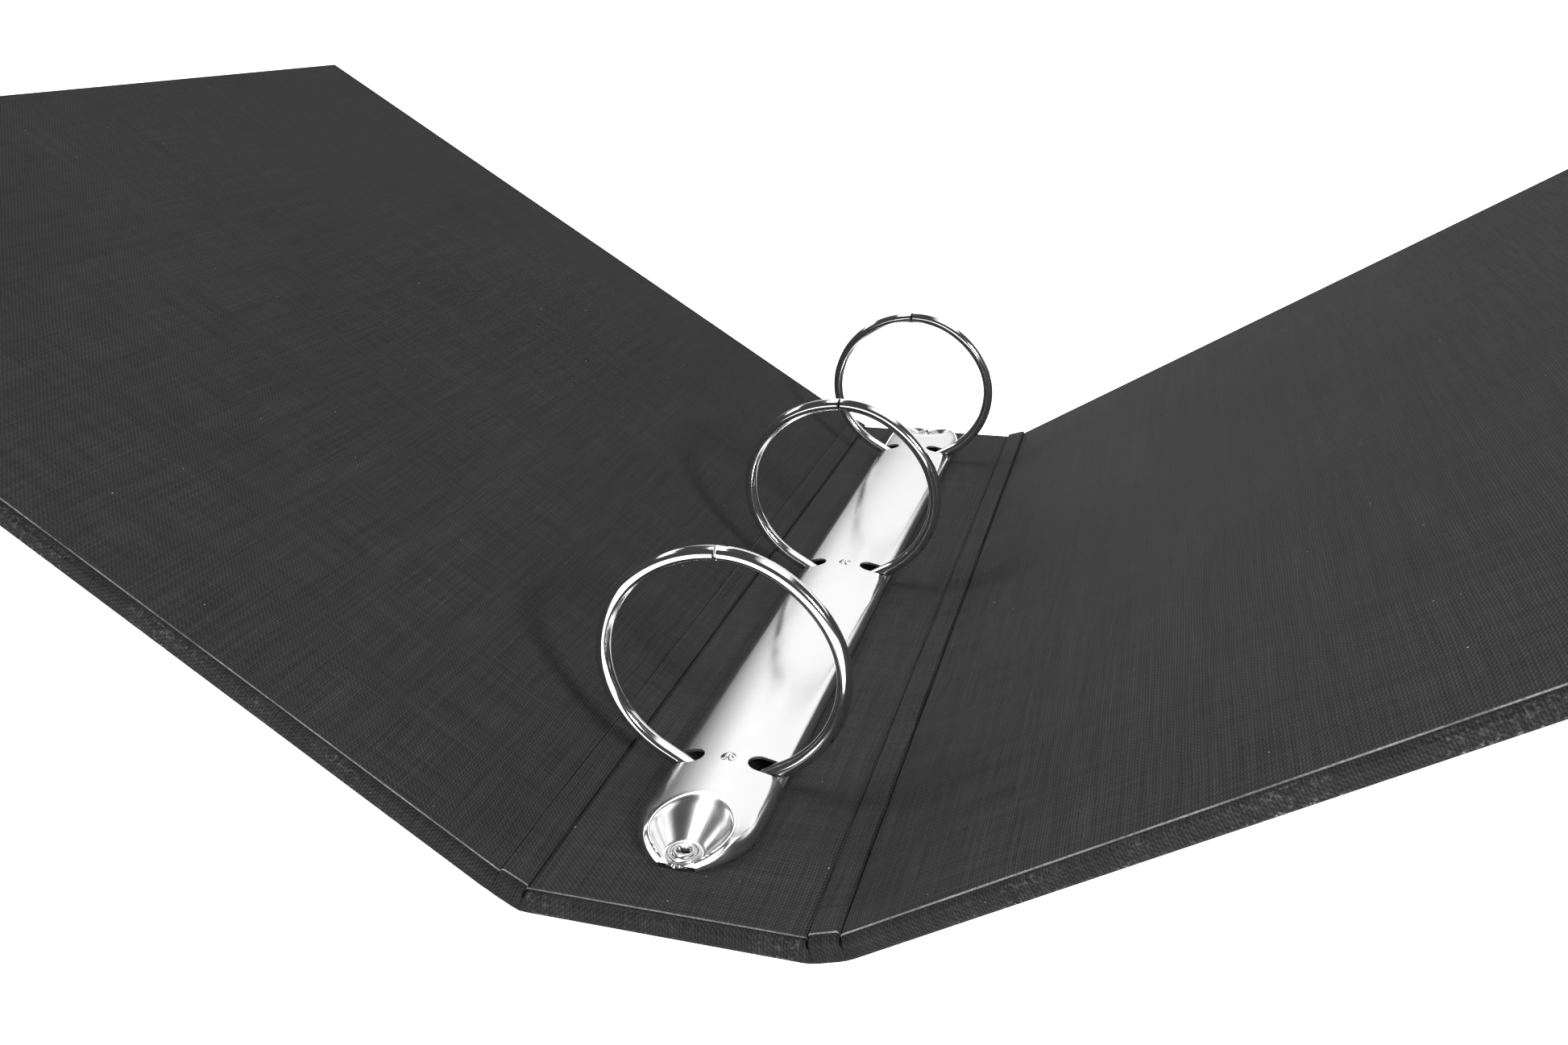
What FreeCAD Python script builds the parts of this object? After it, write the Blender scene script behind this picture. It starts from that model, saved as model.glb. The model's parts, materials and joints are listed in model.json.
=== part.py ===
import FreeCAD, Part
import math
import os
import Sketcher

# A three-ring binder lying open: two cloth-covered boards and a spine, joined by two narrow
# hinge strips, with a pressed steel ring mechanism riveted to the spine.
#
# Frame: X runs across the open binder (the front cover is on the -X side), Y runs along the
# spine towards the head, Z is up. Z = 0 is the underside of the spine. Each crease is a pair
# of cloth hinges, whose axes run along Y where the outer cloth meets the boards.

# Millimetres and degrees.
DIMENSIONS = {
    # how far a cutting shape runs past what it cuts
    "cut_past": 3.0,
    # cloth-covered case
    "case_tall": 299.4,
    "board_thick": 3.3,
    "strip_board_thick": 4.1,
    "cloth_thick": 0.4,
    "lining_thick": 0.4,
    "turn_in": 15.0,
    "lining_margin": 2.0,
    "groove_gap": 3.4,
    "cloth_gap": 0.4,
    "spine_pitch": 56.8,
    "strip_pitch": 7.0,
    "cover_reach": 254.0,
    # how far each piece is raised from flat as the binder lies open
    "front_strip_angle": 28.0,
    "front_cover_angle": 32.5,
    "back_strip_angle": 17.0,
    "back_cover_angle": 30.8,
    # where the ring mechanism sits on the spine
    "mechanism_aside": 1.8,
    "mechanism_up": 6.0,
    # pressed steel housing
    "sheet_thick": 0.6,
    "crown_tall": 4.9,
    "crown_radius": 39.4,
    "shoulder_radius": 3.2,
    "housing_half": 12.75,
    "lip_reach": 1.7,
    "housing_long": 282.0,
    "nose_start": 126.0,
    "nose_radius": 17.5,
    "slope_start": 124.0,
    "slope_radius": 38.0,
    "dish_floor_radius": 4.2,
    "dish_rim_radius": 10.0,
    "dish_rim_place": 131.9,
    "dish_over": 0.4,
    "slot_shift": 0.45,
    "slot_half": 2.75,
    "slot_inner": 4.3,
    "slot_flare": 3.2,
    "slot_flare_start": 10.1,
    "slot_flare_radius": 5.8,
    "notch_low": 1.0,
    "pip_radius": 1.3,
    "pip_tall": 0.7,
    # rivets
    "rivet_place": 136.8,
    "rivet_shank_radius": 2.0,
    "rivet_roll_radius": 3.6,
    "rivet_roll_tall": 0.9,
    "rivet_roll_side": 0.3,
    "rivet_roll_bevel": 0.5,
    "rivet_flat": 0.9,
    "rivet_funnel": 0.4,
    "rivet_base_radius": 5.0,
    "rivet_base_thick": 0.8,
    "rivet_bore_radius": 0.9,
    "rivet_bore_deep": 3.0,
    # hinge plates under the housing
    "plate_thick": 0.9,
    "plate_long": 226.0,
    "pivot_aside": 11.4,
    "pivot_up": 1.1,
    "plate_reach": 11.29,
    "plate_droop": 2.5,
    # rings
    "ring_spacing": 108.0,
    "ring_radius": 25.4,
    "wire_radius": 1.7,
    "ring_centre_up": 26.43,
    "leg_angle": 30.0,
    "leg_end": 7.7,
    "tenon_radius": 1.1,
    "tenon_place": 7.4,
    "tenon_long": 3.0,
    "lap_long": 1.3,
    "lap_gap": 0.04,
}

doc = FreeCAD.newDocument("ring_binder")
sheet = doc.addObject("Spreadsheet::Sheet", "Dims")
for row, (word, number) in enumerate(DIMENSIONS.items(), start=1):
    sheet.set("A%d" % row, word)
    sheet.set("B%d" % row, str(number))
    sheet.setAlias("B%d" % row, word)
doc.recompute()

subparts = []

# The two ends of the mechanism and its three rings, each with its place along Y.
ENDS = (("tail", -1), ("head", 1))
RINGS = (("tail", -1), ("middle", 0), ("head", 1))


# ---------------------------------------------------------------- sketches and features


def value(expression):
    """The number that an expression of the sheet's words comes to."""
    return float(sheet.evalExpression(expression))


def new_body(name):
    """An empty body that becomes the node called name."""
    body = doc.addObject("PartDesign::Body", name)
    body.Label = name
    return body


def keep(piece, placement):
    """Puts a finished sub-part where it belongs and lists it for export."""
    piece.Placement = placement
    subparts.append(piece)


def new_sketch(body, role, raised="0"):
    """A sketch on one of the body's own origin planes, raised along the plane's normal."""
    sketch = body.newObject("Sketcher::SketchObject", body.Name + "_sketch")
    plane = next(item for item in body.Origin.OriginFeatures if item.Role == role)
    sketch.AttachmentSupport = [(plane, "")]
    sketch.MapMode = "FlatFace"
    if raised != "0":
        sketch.AttachmentOffset = FreeCAD.Placement(
            FreeCAD.Vector(0, 0, value(raised)), FreeCAD.Rotation()
        )
        sketch.setExpression("AttachmentOffset.Base.z", raised)
    return sketch


def pin_point(sketch, geometry, place, x, y):
    """Holds one point of a sketch at a pair of expressions, measured from the origin."""
    for kind, expression in (("DistanceX", x), ("DistanceY", y)):
        constraint = Sketcher.Constraint(kind, -1, 1, geometry, place, value(expression))
        index = sketch.addConstraint(constraint)
        sketch.setExpression("Constraints[%d]" % index, expression)


def arc_between(start, end, radius, side):
    """The short arc from start to end; its centre is left (1) or right (-1) of the way there."""
    chord = end - start
    half = chord.Length / 2
    rise = math.sqrt(max(radius * radius - half * half, 0))
    across = FreeCAD.Vector(-chord.y, chord.x, 0).normalize()
    centre = start + chord * 0.5 + across * (rise * side)
    begin, finish = (start, end) if side > 0 else (end, start)
    first_angle = math.atan2(begin.y - centre.y, begin.x - centre.x)
    last_angle = math.atan2(finish.y - centre.y, finish.x - centre.x)
    circle = Part.Circle(centre, FreeCAD.Vector(0, 0, 1), radius)
    return Part.ArcOfCircle(circle, first_angle, last_angle)


def draw_outline(sketch, corners, closed=True):
    """Lines and arcs through corners: (x, y), or (x, y, radius, side) where an arc starts."""
    points = [FreeCAD.Vector(value(c[0]), value(c[1]), 0) for c in corners]
    count = len(corners) if closed else len(corners) - 1
    ends = []
    for index in range(count):
        start = points[index]
        end = points[(index + 1) % len(points)]
        if len(corners[index]) == 2:
            geometry = sketch.addGeometry(Part.LineSegment(start, end), False)
            ends.append((geometry, 1, 2))
            continue
        radius, side = corners[index][2:]
        geometry = sketch.addGeometry(arc_between(start, end, value(radius), side), False)
        ends.append((geometry, 1, 2) if side > 0 else (geometry, 2, 1))
        held = sketch.addConstraint(Sketcher.Constraint("Radius", geometry, value(radius)))
        sketch.setExpression("Constraints[%d]" % held, radius)
    for index in range(count):
        geometry, first, last = ends[index]
        pin_point(sketch, geometry, first, corners[index][0], corners[index][1])
        if closed or index + 1 < count:
            following, its_first, _ = ends[(index + 1) % count]
            join = Sketcher.Constraint("Coincident", geometry, last, following, its_first)
            sketch.addConstraint(join)
    if not closed:
        geometry, _, last = ends[-1]
        pin_point(sketch, geometry, last, corners[-1][0], corners[-1][1])


def draw_box(sketch, left, right, low, high):
    draw_outline(sketch, [(left, low), (right, low), (right, high), (left, high)])


def draw_circle(sketch, x, y, radius):
    centre = FreeCAD.Vector(value(x), value(y), 0)
    circle = Part.Circle(centre, FreeCAD.Vector(0, 0, 1), value(radius))
    geometry = sketch.addGeometry(circle, False)
    held = sketch.addConstraint(Sketcher.Constraint("Radius", geometry, value(radius)))
    sketch.setExpression("Constraints[%d]" % held, radius)
    pin_point(sketch, geometry, 3, x, y)


def pad(body, sketch, length, midplane=False, backwards=False):
    feature = body.newObject("PartDesign::Pad", body.Name + "_pad")
    feature.Profile = sketch
    feature.Midplane = midplane
    feature.Reversed = backwards
    feature.setExpression("Length", length)
    doc.recompute()
    return feature


def pocket(body, sketch, length, midplane=False, backwards=False):
    """Cuts a sketch out of the body, and makes sure that the cut removed something."""
    before = body.Shape.Volume
    feature = body.newObject("PartDesign::Pocket", body.Name + "_pocket")
    feature.Profile = sketch
    feature.Midplane = midplane
    feature.Reversed = backwards
    feature.setExpression("Length", length)
    doc.recompute()
    if not body.Shape.Volume < before - 1e-6:
        raise RuntimeError("a pocket in %s cuts nothing" % body.Label)
    return feature


# ---------------------------------------------------------------- the cloth-covered case

HALF_TALL = "Dims.case_tall / 2"


def make_board(name, left, right, thick, placement):
    """A flat board, inside the cloth's fold at head and tail."""
    body = new_body(name)
    edge = HALF_TALL + " - Dims.cloth_thick"
    sketch = new_sketch(body, "XY_Plane")
    draw_box(sketch, left, right, "-(%s)" % edge, edge)
    pad(body, sketch, thick)
    keep(body, placement)
    return body


def make_cloth(name, sheet_ends, left, right, thick, fore_edge, placement):
    """Outer cloth: a sheet under the board, folded up round its edges and turned in on top.

    The sheet runs on into the creases, to sheet_ends; the folds stop where the board does."""
    body = new_body(name)
    base = new_sketch(body, "XY_Plane", "-Dims.cloth_thick")
    draw_box(base, sheet_ends[0], sheet_ends[1], "-(%s)" % HALF_TALL, HALF_TALL)
    pad(body, base, "Dims.cloth_thick")
    folds = new_sketch(body, "XY_Plane")
    draw_box(folds, left, right, "-(%s)" % HALF_TALL, HALF_TALL)
    pad(body, folds, "%s + Dims.cloth_thick" % thick)

    edge = HALF_TALL + " - Dims.cloth_thick"
    room = new_sketch(body, "YZ_Plane", left)
    draw_box(room, "-(%s)" % edge, edge, "0", thick)
    room_end = " - Dims.cloth_thick" if fore_edge else ""
    pocket(body, room, "%s%s - (%s)" % (right, room_end, left), backwards=True)

    window_edge = HALF_TALL + " - Dims.turn_in"
    window_right = right + (" - Dims.turn_in" if fore_edge else "")
    window = new_sketch(body, "XY_Plane", thick)
    draw_box(window, left, window_right, "-(%s)" % window_edge, window_edge)
    pocket(body, window, "Dims.cloth_thick", backwards=True)
    keep(body, placement)
    return body


def make_lining(name, left, right, thick, fore_edge, placement):
    """Lining sheet: it covers the turned-in cloth, and inside that it lies on the board."""
    body = new_body(name)
    field_edge = HALF_TALL + " - Dims.turn_in"
    field_right = right + (" - Dims.turn_in" if fore_edge else "")
    field = new_sketch(body, "XY_Plane", thick)
    draw_box(field, left, field_right, "-(%s)" % field_edge, field_edge)
    pad(body, field, "Dims.cloth_thick")

    sheet_edge = HALF_TALL + " - Dims.lining_margin"
    sheet_right = right + (" - Dims.lining_margin" if fore_edge else "")
    top = new_sketch(body, "XY_Plane", "%s + Dims.cloth_thick" % thick)
    draw_box(top, left, sheet_right, "-(%s)" % sheet_edge, sheet_edge)
    pad(body, top, "Dims.lining_thick")
    keep(body, placement)
    return body


RIVET_PLACES = (
    "Dims.mechanism_up - Dims.rivet_place",
    "Dims.mechanism_up + Dims.rivet_place",
)


def bore_for_rivets(body, raised, radius, length):
    """Round holes on the two rivets' axes, upwards from a height."""
    sketch = new_sketch(body, "XY_Plane", raised)
    for place in RIVET_PLACES:
        draw_circle(sketch, "-Dims.mechanism_aside", place, radius)
    pocket(body, sketch, length, backwards=True)


def make_spine(placement):
    axis = "Dims.spine_pitch / 2"
    board_edge = axis + " - Dims.groove_gap / 2"
    cloth_edge = axis + " - Dims.cloth_gap / 2"
    board_left = "-(%s)" % board_edge
    thick = "Dims.board_thick"
    board = make_board("spine_board", board_left, board_edge, thick, placement)
    bore_for_rivets(board, "0", "Dims.rivet_base_radius", "Dims.rivet_base_thick")
    bore_for_rivets(board, "0", "Dims.rivet_shank_radius", thick)
    sheet_ends = ("-(%s)" % cloth_edge, cloth_edge)
    cloth = make_cloth(
        "spine_cloth", sheet_ends, board_left, board_edge, thick, False, placement
    )
    bore_for_rivets(cloth, thick, "Dims.rivet_shank_radius", "Dims.cloth_thick")
    lining = make_lining("spine_lining", board_left, board_edge, thick, False, placement)
    through = "Dims.cloth_thick + Dims.lining_thick"
    bore_for_rivets(lining, thick, "Dims.rivet_shank_radius", through)


def make_strip(side, placement):
    left = "Dims.groove_gap / 2"
    right = "Dims.strip_pitch - Dims.groove_gap / 2"
    sheet_ends = ("Dims.cloth_gap / 2", "Dims.strip_pitch - Dims.cloth_gap / 2")
    thick = "Dims.strip_board_thick"
    make_board(side + "_strip_board", left, right, thick, placement)
    make_cloth(side + "_strip_cloth", sheet_ends, left, right, thick, False, placement)
    make_lining(side + "_strip_lining", left, right, thick, False, placement)


def make_cover(side, placement):
    left = "Dims.groove_gap / 2"
    reach = "Dims.cover_reach"
    sheet_ends = ("Dims.cloth_gap / 2", reach)
    inside = "Dims.cover_reach - Dims.cloth_thick"
    thick = "Dims.board_thick"
    make_board(side + "_cover_board", left, inside, thick, placement)
    make_cloth(side + "_cover_cloth", sheet_ends, left, reach, thick, True, placement)
    make_lining(side + "_cover_lining", left, reach, thick, True, placement)


# ---------------------------------------------------------------- the ring mechanism


def housing_form(name, inset):
    """The housing's outer form (inset 0), or the space inside its sheet (inset sheet_thick)."""
    body = new_body(name)
    half = "Dims.housing_half - " + inset
    crown = "Dims.crown_radius - " + inset
    shoulder = "Dims.shoulder_radius - " + inset
    shoulder_x = "(Dims.housing_half - Dims.shoulder_radius)"
    radii_apart = "(Dims.crown_radius - Dims.shoulder_radius)"
    crown_z = "(Dims.crown_tall - Dims.crown_radius)"
    rise = "sqrt(%s ^ 2 - %s ^ 2)" % (radii_apart, shoulder_x)
    shoulder_z = "(%s + %s)" % (crown_z, rise)
    meet_x = "((%s) * %s / %s)" % (crown, shoulder_x, radii_apart)
    meet_z = "(%s + (%s) * %s / %s)" % (crown_z, crown, rise, radii_apart)

    arch = new_sketch(body, "XZ_Plane")
    right_shoulder = [(meet_x, meet_z, crown, 1), ("-" + meet_x, meet_z, shoulder, 1)]
    if inset == "0":
        low_left = ("-(%s)" % half, "0")
        low_right = (half, "0")
        wall_top = (half, shoulder_z, shoulder, 1)
        corners = [low_left, low_right, wall_top] + right_shoulder
        corners.append(("-(%s)" % half, shoulder_z))
    else:
        # the sheet's inner face reaches the lips before its shoulder turns upright
        depth = "(%s - %s)" % (inset, shoulder_z)
        foot_x = "(%s + sqrt((%s) ^ 2 - %s ^ 2))" % (shoulder_x, shoulder, depth)
        corners = [("-" + foot_x, inset), (foot_x, inset, shoulder, 1)] + right_shoulder
    draw_outline(arch, corners)
    pad(body, arch, "Dims.housing_long - 2 * " + inset, midplane=True)

    end = "(Dims.housing_long / 2 - %s)" % inset
    arc_radius = "Dims.nose_radius - " + inset
    arc_drop = "(Dims.housing_long / 2 - Dims.nose_start)"
    end_half = "(Dims.housing_half - Dims.nose_radius + sqrt((%s) ^ 2 - (%s - %s) ^ 2))" % (
        arc_radius,
        arc_drop,
        inset,
    )
    beyond = "(%s + Dims.cut_past)" % end
    outside = "(%s + Dims.cut_past)" % half
    nose = new_sketch(body, "XY_Plane", "-Dims.cut_past")
    for x_sign, y_sign in ((1, 1), (1, -1), (-1, 1), (-1, -1)):
        turn = x_sign * y_sign

        def at(x, y):
            return "%d * (%s)" % (x_sign, x), "%d * (%s)" % (y_sign, y)

        corners = [
            at(half, "Dims.nose_start") + (arc_radius, turn),
            at(end_half, end),
            at(end_half, beyond),
            at(outside, beyond),
            at(outside, "Dims.nose_start"),
        ]
        draw_outline(nose, corners)
    pocket(body, nose, "Dims.crown_tall + 2 * Dims.cut_past", backwards=True)

    top = "Dims.crown_tall - " + inset
    slope_radius = "(Dims.slope_radius - %s)" % inset
    slope_centre_z = "(Dims.crown_tall - Dims.slope_radius)"
    slope_end_y = "Dims.housing_long / 2"
    slope_end_z = "(%s + sqrt(%s ^ 2 - (%s - Dims.slope_start) ^ 2))" % (
        slope_centre_z,
        slope_radius,
        slope_end_y,
    )
    above = "Dims.crown_tall + Dims.cut_past"
    past_end = slope_end_y + " + Dims.cut_past"
    slope = new_sketch(body, "YZ_Plane")
    draw_outline(
        slope,
        [
            ("Dims.slope_start", top, slope_radius, -1),
            (slope_end_y, slope_end_z),
            (past_end, slope_end_z),
            (past_end, above),
            ("Dims.slope_start", above),
        ],
    )
    draw_outline(
        slope,
        [
            ("-Dims.slope_start", top, slope_radius, 1),
            ("-(%s)" % slope_end_y, slope_end_z),
            ("-(%s)" % past_end, slope_end_z),
            ("-(%s)" % past_end, above),
            ("-Dims.slope_start", above),
        ],
    )
    pocket(body, slope, "4 * Dims.housing_half", midplane=True)
    return body


def dish_tool(name, end_sign, grown):
    """An oblique cone over one rivet: the hollow of the dish, or with its sheet around it."""
    body = new_body(name)
    floor = new_sketch(body, "XY_Plane", "Dims.sheet_thick - " + grown)
    place = "%d * Dims.rivet_place" % end_sign
    draw_circle(floor, "0", place, "Dims.dish_floor_radius + " + grown)
    # the cone runs on past the crown, so that it cuts clean through
    over = "Dims.dish_over / (Dims.crown_tall - Dims.sheet_thick)"
    wider = "(Dims.dish_rim_radius - Dims.dish_floor_radius) * " + over
    shifted = "(Dims.dish_rim_place - Dims.rivet_place) * " + over
    rim = new_sketch(body, "XY_Plane", "Dims.crown_tall + Dims.dish_over")
    rim_place = "%d * (Dims.dish_rim_place + %s)" % (end_sign, shifted)
    draw_circle(rim, "0", rim_place, "Dims.dish_rim_radius + %s + %s" % (wider, grown))
    loft = body.newObject("PartDesign::AdditiveLoft", name + "_loft")
    loft.Profile = floor
    loft.Sections = [rim]
    loft.Ruled = True
    doc.recompute()
    return body


def slot_outline(x_sign, centre):
    """A leg's slot: round at its inner end, with a flared shoulder on the tail side."""
    outside = "(Dims.housing_half + Dims.cut_past)"
    low = "(%s - Dims.slot_half)" % centre
    high = "(%s + Dims.slot_half)" % centre

    def at(x, y):
        return "%d * (%s)" % (x_sign, x), y

    return [
        at("Dims.slot_inner + Dims.slot_half", low),
        at("Dims.slot_flare_start", low) + ("Dims.slot_flare_radius", -x_sign),
        at(outside, "(%s - Dims.slot_flare)" % low),
        at(outside, high),
        at("Dims.slot_inner + Dims.slot_half", high) + ("Dims.slot_half", x_sign),
        at("Dims.slot_inner", centre) + ("Dims.slot_half", x_sign),
    ]


def make_housing(placement):
    """Arched steel channel: curled lips, six leg slots, three pips, a dished end at each rivet."""
    outer = housing_form("housing_outside", "0")
    slots = new_sketch(outer, "XY_Plane", "Dims.notch_low")
    for ring in (-1, 0, 1):
        for x_sign in (1, -1):
            centre = "(%d * Dims.ring_spacing + Dims.slot_shift)" % ring
            draw_outline(slots, slot_outline(x_sign, centre))
    pocket(outer, slots, "Dims.crown_tall", backwards=True)

    inner = housing_form("housing_inside", "Dims.sheet_thick")
    mouth = new_sketch(inner, "XY_Plane", "-Dims.cut_past")
    mouth_half = "Dims.housing_half - Dims.lip_reach"
    mouth_end = "Dims.nose_start"
    draw_box(mouth, "-(%s)" % mouth_half, mouth_half, "-" + mouth_end, mouth_end)
    pad(inner, mouth, "Dims.cut_past + 2 * Dims.sheet_thick")

    walls = [dish_tool("dish_wall_%s" % end, sign, "Dims.sheet_thick") for end, sign in ENDS]
    hollows = [dish_tool("dish_hollow_%s" % end, sign, "0") for end, sign in ENDS]
    space = doc.addObject("Part::Cut", "housing_space")
    space.Base = inner
    walls_joined = doc.addObject("Part::MultiFuse", "dish_walls")
    walls_joined.Shapes = walls
    space.Tool = walls_joined

    pips = []
    for ring in (-1, 0, 1):
        pip = doc.addObject("Part::Sphere", "pip")
        reach = "(Dims.pip_radius ^ 2 + Dims.pip_tall ^ 2) / (2 * Dims.pip_tall)"
        pip.setExpression("Radius", reach)
        pip.setExpression("Placement.Base.y", "%d * Dims.ring_spacing + Dims.slot_shift" % ring)
        pip.setExpression("Placement.Base.z", "Dims.crown_tall + Dims.pip_tall - " + reach)
        pips.append(pip)
    raised = doc.addObject("Part::MultiFuse", "housing_with_pips")
    raised.Shapes = [outer] + pips

    bores = []
    for _, sign in ENDS:
        bore = doc.addObject("Part::Cylinder", "rivet_bore")
        bore.setExpression("Radius", "Dims.rivet_shank_radius")
        bore.setExpression("Height", "2 * Dims.cut_past")
        bore.setExpression("Placement.Base.y", "%d * Dims.rivet_place" % sign)
        bore.setExpression("Placement.Base.z", "-Dims.cut_past")
        bores.append(bore)
    cuts = doc.addObject("Part::MultiFuse", "housing_cuts")
    cuts.Shapes = [space] + hollows + bores

    housing = doc.addObject("Part::Cut", "ring_housing")
    housing.Label = "ring_housing"
    housing.Base = raised
    housing.Tool = cuts
    doc.recompute()
    keep(housing, placement)


def make_rivet(name, place, placement):
    """Tubular rivet: flat base hidden in the board, shank, and a rolled head on the dish floor."""
    body = new_body(name)
    stack = "(Dims.board_thick + Dims.cloth_thick + Dims.lining_thick + Dims.sheet_thick)"
    head_top = "(%s + Dims.rivet_roll_tall)" % stack
    profile = new_sketch(body, "XZ_Plane")
    base_top = "Dims.rivet_base_thick"
    shank = "Dims.rivet_shank_radius"
    roll = "Dims.rivet_roll_radius"
    bore = "Dims.rivet_bore_radius"
    draw_outline(
        profile,
        [
            ("0", "0"),
            ("Dims.rivet_base_radius", "0"),
            ("Dims.rivet_base_radius", base_top),
            (shank, base_top),
            (shank, stack),
            (roll, stack),
            (roll, stack + " + Dims.rivet_roll_side"),
            (roll + " - Dims.rivet_roll_bevel", head_top),
            (roll + " - Dims.rivet_roll_bevel - Dims.rivet_flat", head_top),
            (bore, head_top + " - Dims.rivet_funnel"),
            (bore, head_top + " - Dims.rivet_bore_deep"),
            ("0", head_top + " - Dims.rivet_bore_deep"),
        ],
    )
    turned = body.newObject("PartDesign::Revolution", name + "_turned")
    turned.Profile = profile
    turned.ReferenceAxis = (profile, ["V_Axis"])
    turned.Angle = 360
    doc.recompute()
    offset = FreeCAD.Placement(FreeCAD.Vector(0, value(place), 0), FreeCAD.Rotation())
    keep(body, placement.multiply(offset))


# The hinge plate's section: the middle of its thickness leaves the pivot at a small droop.
DROOP_COS = "cos(Dims.plate_droop)"
DROOP_SIN = "sin(Dims.plate_droop)"


def plate_point(along, above):
    """A point of the right plate's section: along it from the pivot, and above its middle."""
    x = "(Dims.pivot_aside - (%s) * %s - (%s) * %s)" % (along, DROOP_COS, above, DROOP_SIN)
    z = "(Dims.pivot_up - (%s) * %s + (%s) * %s)" % (along, DROOP_SIN, above, DROOP_COS)
    return x, z


def make_plate(name, placement):
    """Hinge plate: its outer edge is round and turns in the housing's lip."""
    body = new_body(name)
    half = "Dims.plate_thick / 2"
    section = new_sketch(body, "XZ_Plane")
    draw_outline(
        section,
        [
            plate_point("0", half),
            plate_point("Dims.plate_reach", half),
            plate_point("Dims.plate_reach", "-" + half),
            plate_point("0", "-" + half) + (half, 1),
            plate_point("-" + half, "0") + (half, 1),
        ],
    )
    pad(body, section, "Dims.plate_long", midplane=True)
    holes = new_sketch(body, "XY_Plane", "-Dims.cut_past")
    for ring in (-1, 0, 1):
        place = "%d * Dims.ring_spacing" % ring
        draw_circle(holes, "Dims.tenon_place", place, "Dims.tenon_radius")
    pocket(body, holes, "2 * Dims.cut_past", backwards=True)
    keep(body, placement)


def make_ring_half(name, ring, placement):
    """Half a ring of round wire, staked into the hinge plate, with a half-lap at its tip."""
    body = new_body(name)
    top = "(Dims.ring_centre_up + Dims.ring_radius)"
    leave_x = "Dims.ring_radius * sin(Dims.leg_angle)"
    leave_z = "(Dims.ring_centre_up - Dims.ring_radius * cos(Dims.leg_angle))"
    side_x = "Dims.ring_radius"
    leg_z = "(%s - (%s - Dims.leg_end) * tan(Dims.leg_angle))" % (leave_z, leave_x)
    path = new_sketch(body, "XZ_Plane")
    corners = [
        ("0", top, "Dims.ring_radius", -1),
        (side_x, "Dims.ring_centre_up", "Dims.ring_radius", -1),
        (leave_x, leave_z),
        ("Dims.leg_end", leg_z),
    ]
    draw_outline(path, corners, closed=False)
    section = new_sketch(body, "YZ_Plane")
    draw_circle(section, "0", top, "Dims.wire_radius")
    wire = body.newObject("PartDesign::AdditivePipe", name + "_wire")
    wire.Profile = section
    wire.Spine = path
    doc.recompute()

    # the foot is cut level with the top of the hinge plate, as far out as the plate's round edge
    half = "Dims.plate_thick / 2"
    below = "-Dims.cut_past"
    under = new_sketch(body, "XZ_Plane")
    near = plate_point("-" + half, half)
    far = plate_point("Dims.plate_reach", half)
    draw_outline(under, [near, far, (far[0], below), (near[0], below)])
    pocket(body, under, "4 * Dims.wire_radius", midplane=True)

    # tenon through the plate, trimmed to the plate's underside
    tenon = new_sketch(body, "XY_Plane", "Dims.pivot_up + Dims.plate_thick - Dims.tenon_long")
    draw_circle(tenon, "Dims.tenon_place", "0", "Dims.tenon_radius")
    pad(body, tenon, "Dims.tenon_long")
    trim = new_sketch(body, "XZ_Plane")
    near = plate_point("0", "-" + half)
    far = plate_point("Dims.plate_reach", "-" + half)
    draw_outline(trim, [near, far, (far[0], below), (near[0], below)])
    pocket(body, trim, "4 * Dims.wire_radius", midplane=True)

    # half-lap: a tongue on the tail side, room for the other half's tongue on the head side
    face = "Dims.lap_gap / 2"
    recess = new_sketch(body, "XY_Plane", "Dims.ring_centre_up")
    draw_box(recess, "-Dims.cut_past", "Dims.lap_long", "-" + face, "2 * Dims.wire_radius")
    pocket(body, recess, "2 * Dims.ring_radius", backwards=True)
    tongue = new_sketch(body, "YZ_Plane")
    chord = "sqrt(Dims.wire_radius ^ 2 - (%s) ^ 2)" % face
    draw_outline(
        tongue,
        [
            ("-" + face, "%s - %s" % (top, chord)),
            ("-" + face, "%s + %s" % (top, chord), "Dims.wire_radius", 1),
            ("-Dims.wire_radius", top, "Dims.wire_radius", 1),
        ],
    )
    pad(body, tongue, "Dims.lap_long - Dims.lap_gap", backwards=True)
    offset = FreeCAD.Placement(
        FreeCAD.Vector(0, ring * value("Dims.ring_spacing"), 0), FreeCAD.Rotation()
    )
    keep(body, placement.multiply(offset))


# ---------------------------------------------------------------- assembly

Y_AXIS = FreeCAD.Vector(0, 1, 0)
Z_AXIS = FreeCAD.Vector(0, 0, 1)


def side_reach(side):
    """How far one side of the open binder reaches from the middle of the spine."""
    strip_angle = "Dims.%s_strip_angle" % side
    cover_angle = "Dims.%s_cover_angle" % side
    return value(
        "Dims.spine_pitch / 2 + Dims.strip_pitch * cos(%s) + Dims.cover_reach * cos(%s)"
        " + Dims.cloth_thick * sin(%s)" % (strip_angle, cover_angle, cover_angle)
    )


# The origin is under the middle of the whole open binder, so the spine stands a little aside.
case_middle = (side_reach("front") - side_reach("back")) / 2
axis_up = value("Dims.cloth_thick")
spine_frame = FreeCAD.Placement(
    FreeCAD.Vector(case_middle, 0, axis_up), FreeCAD.Rotation()
)


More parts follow.
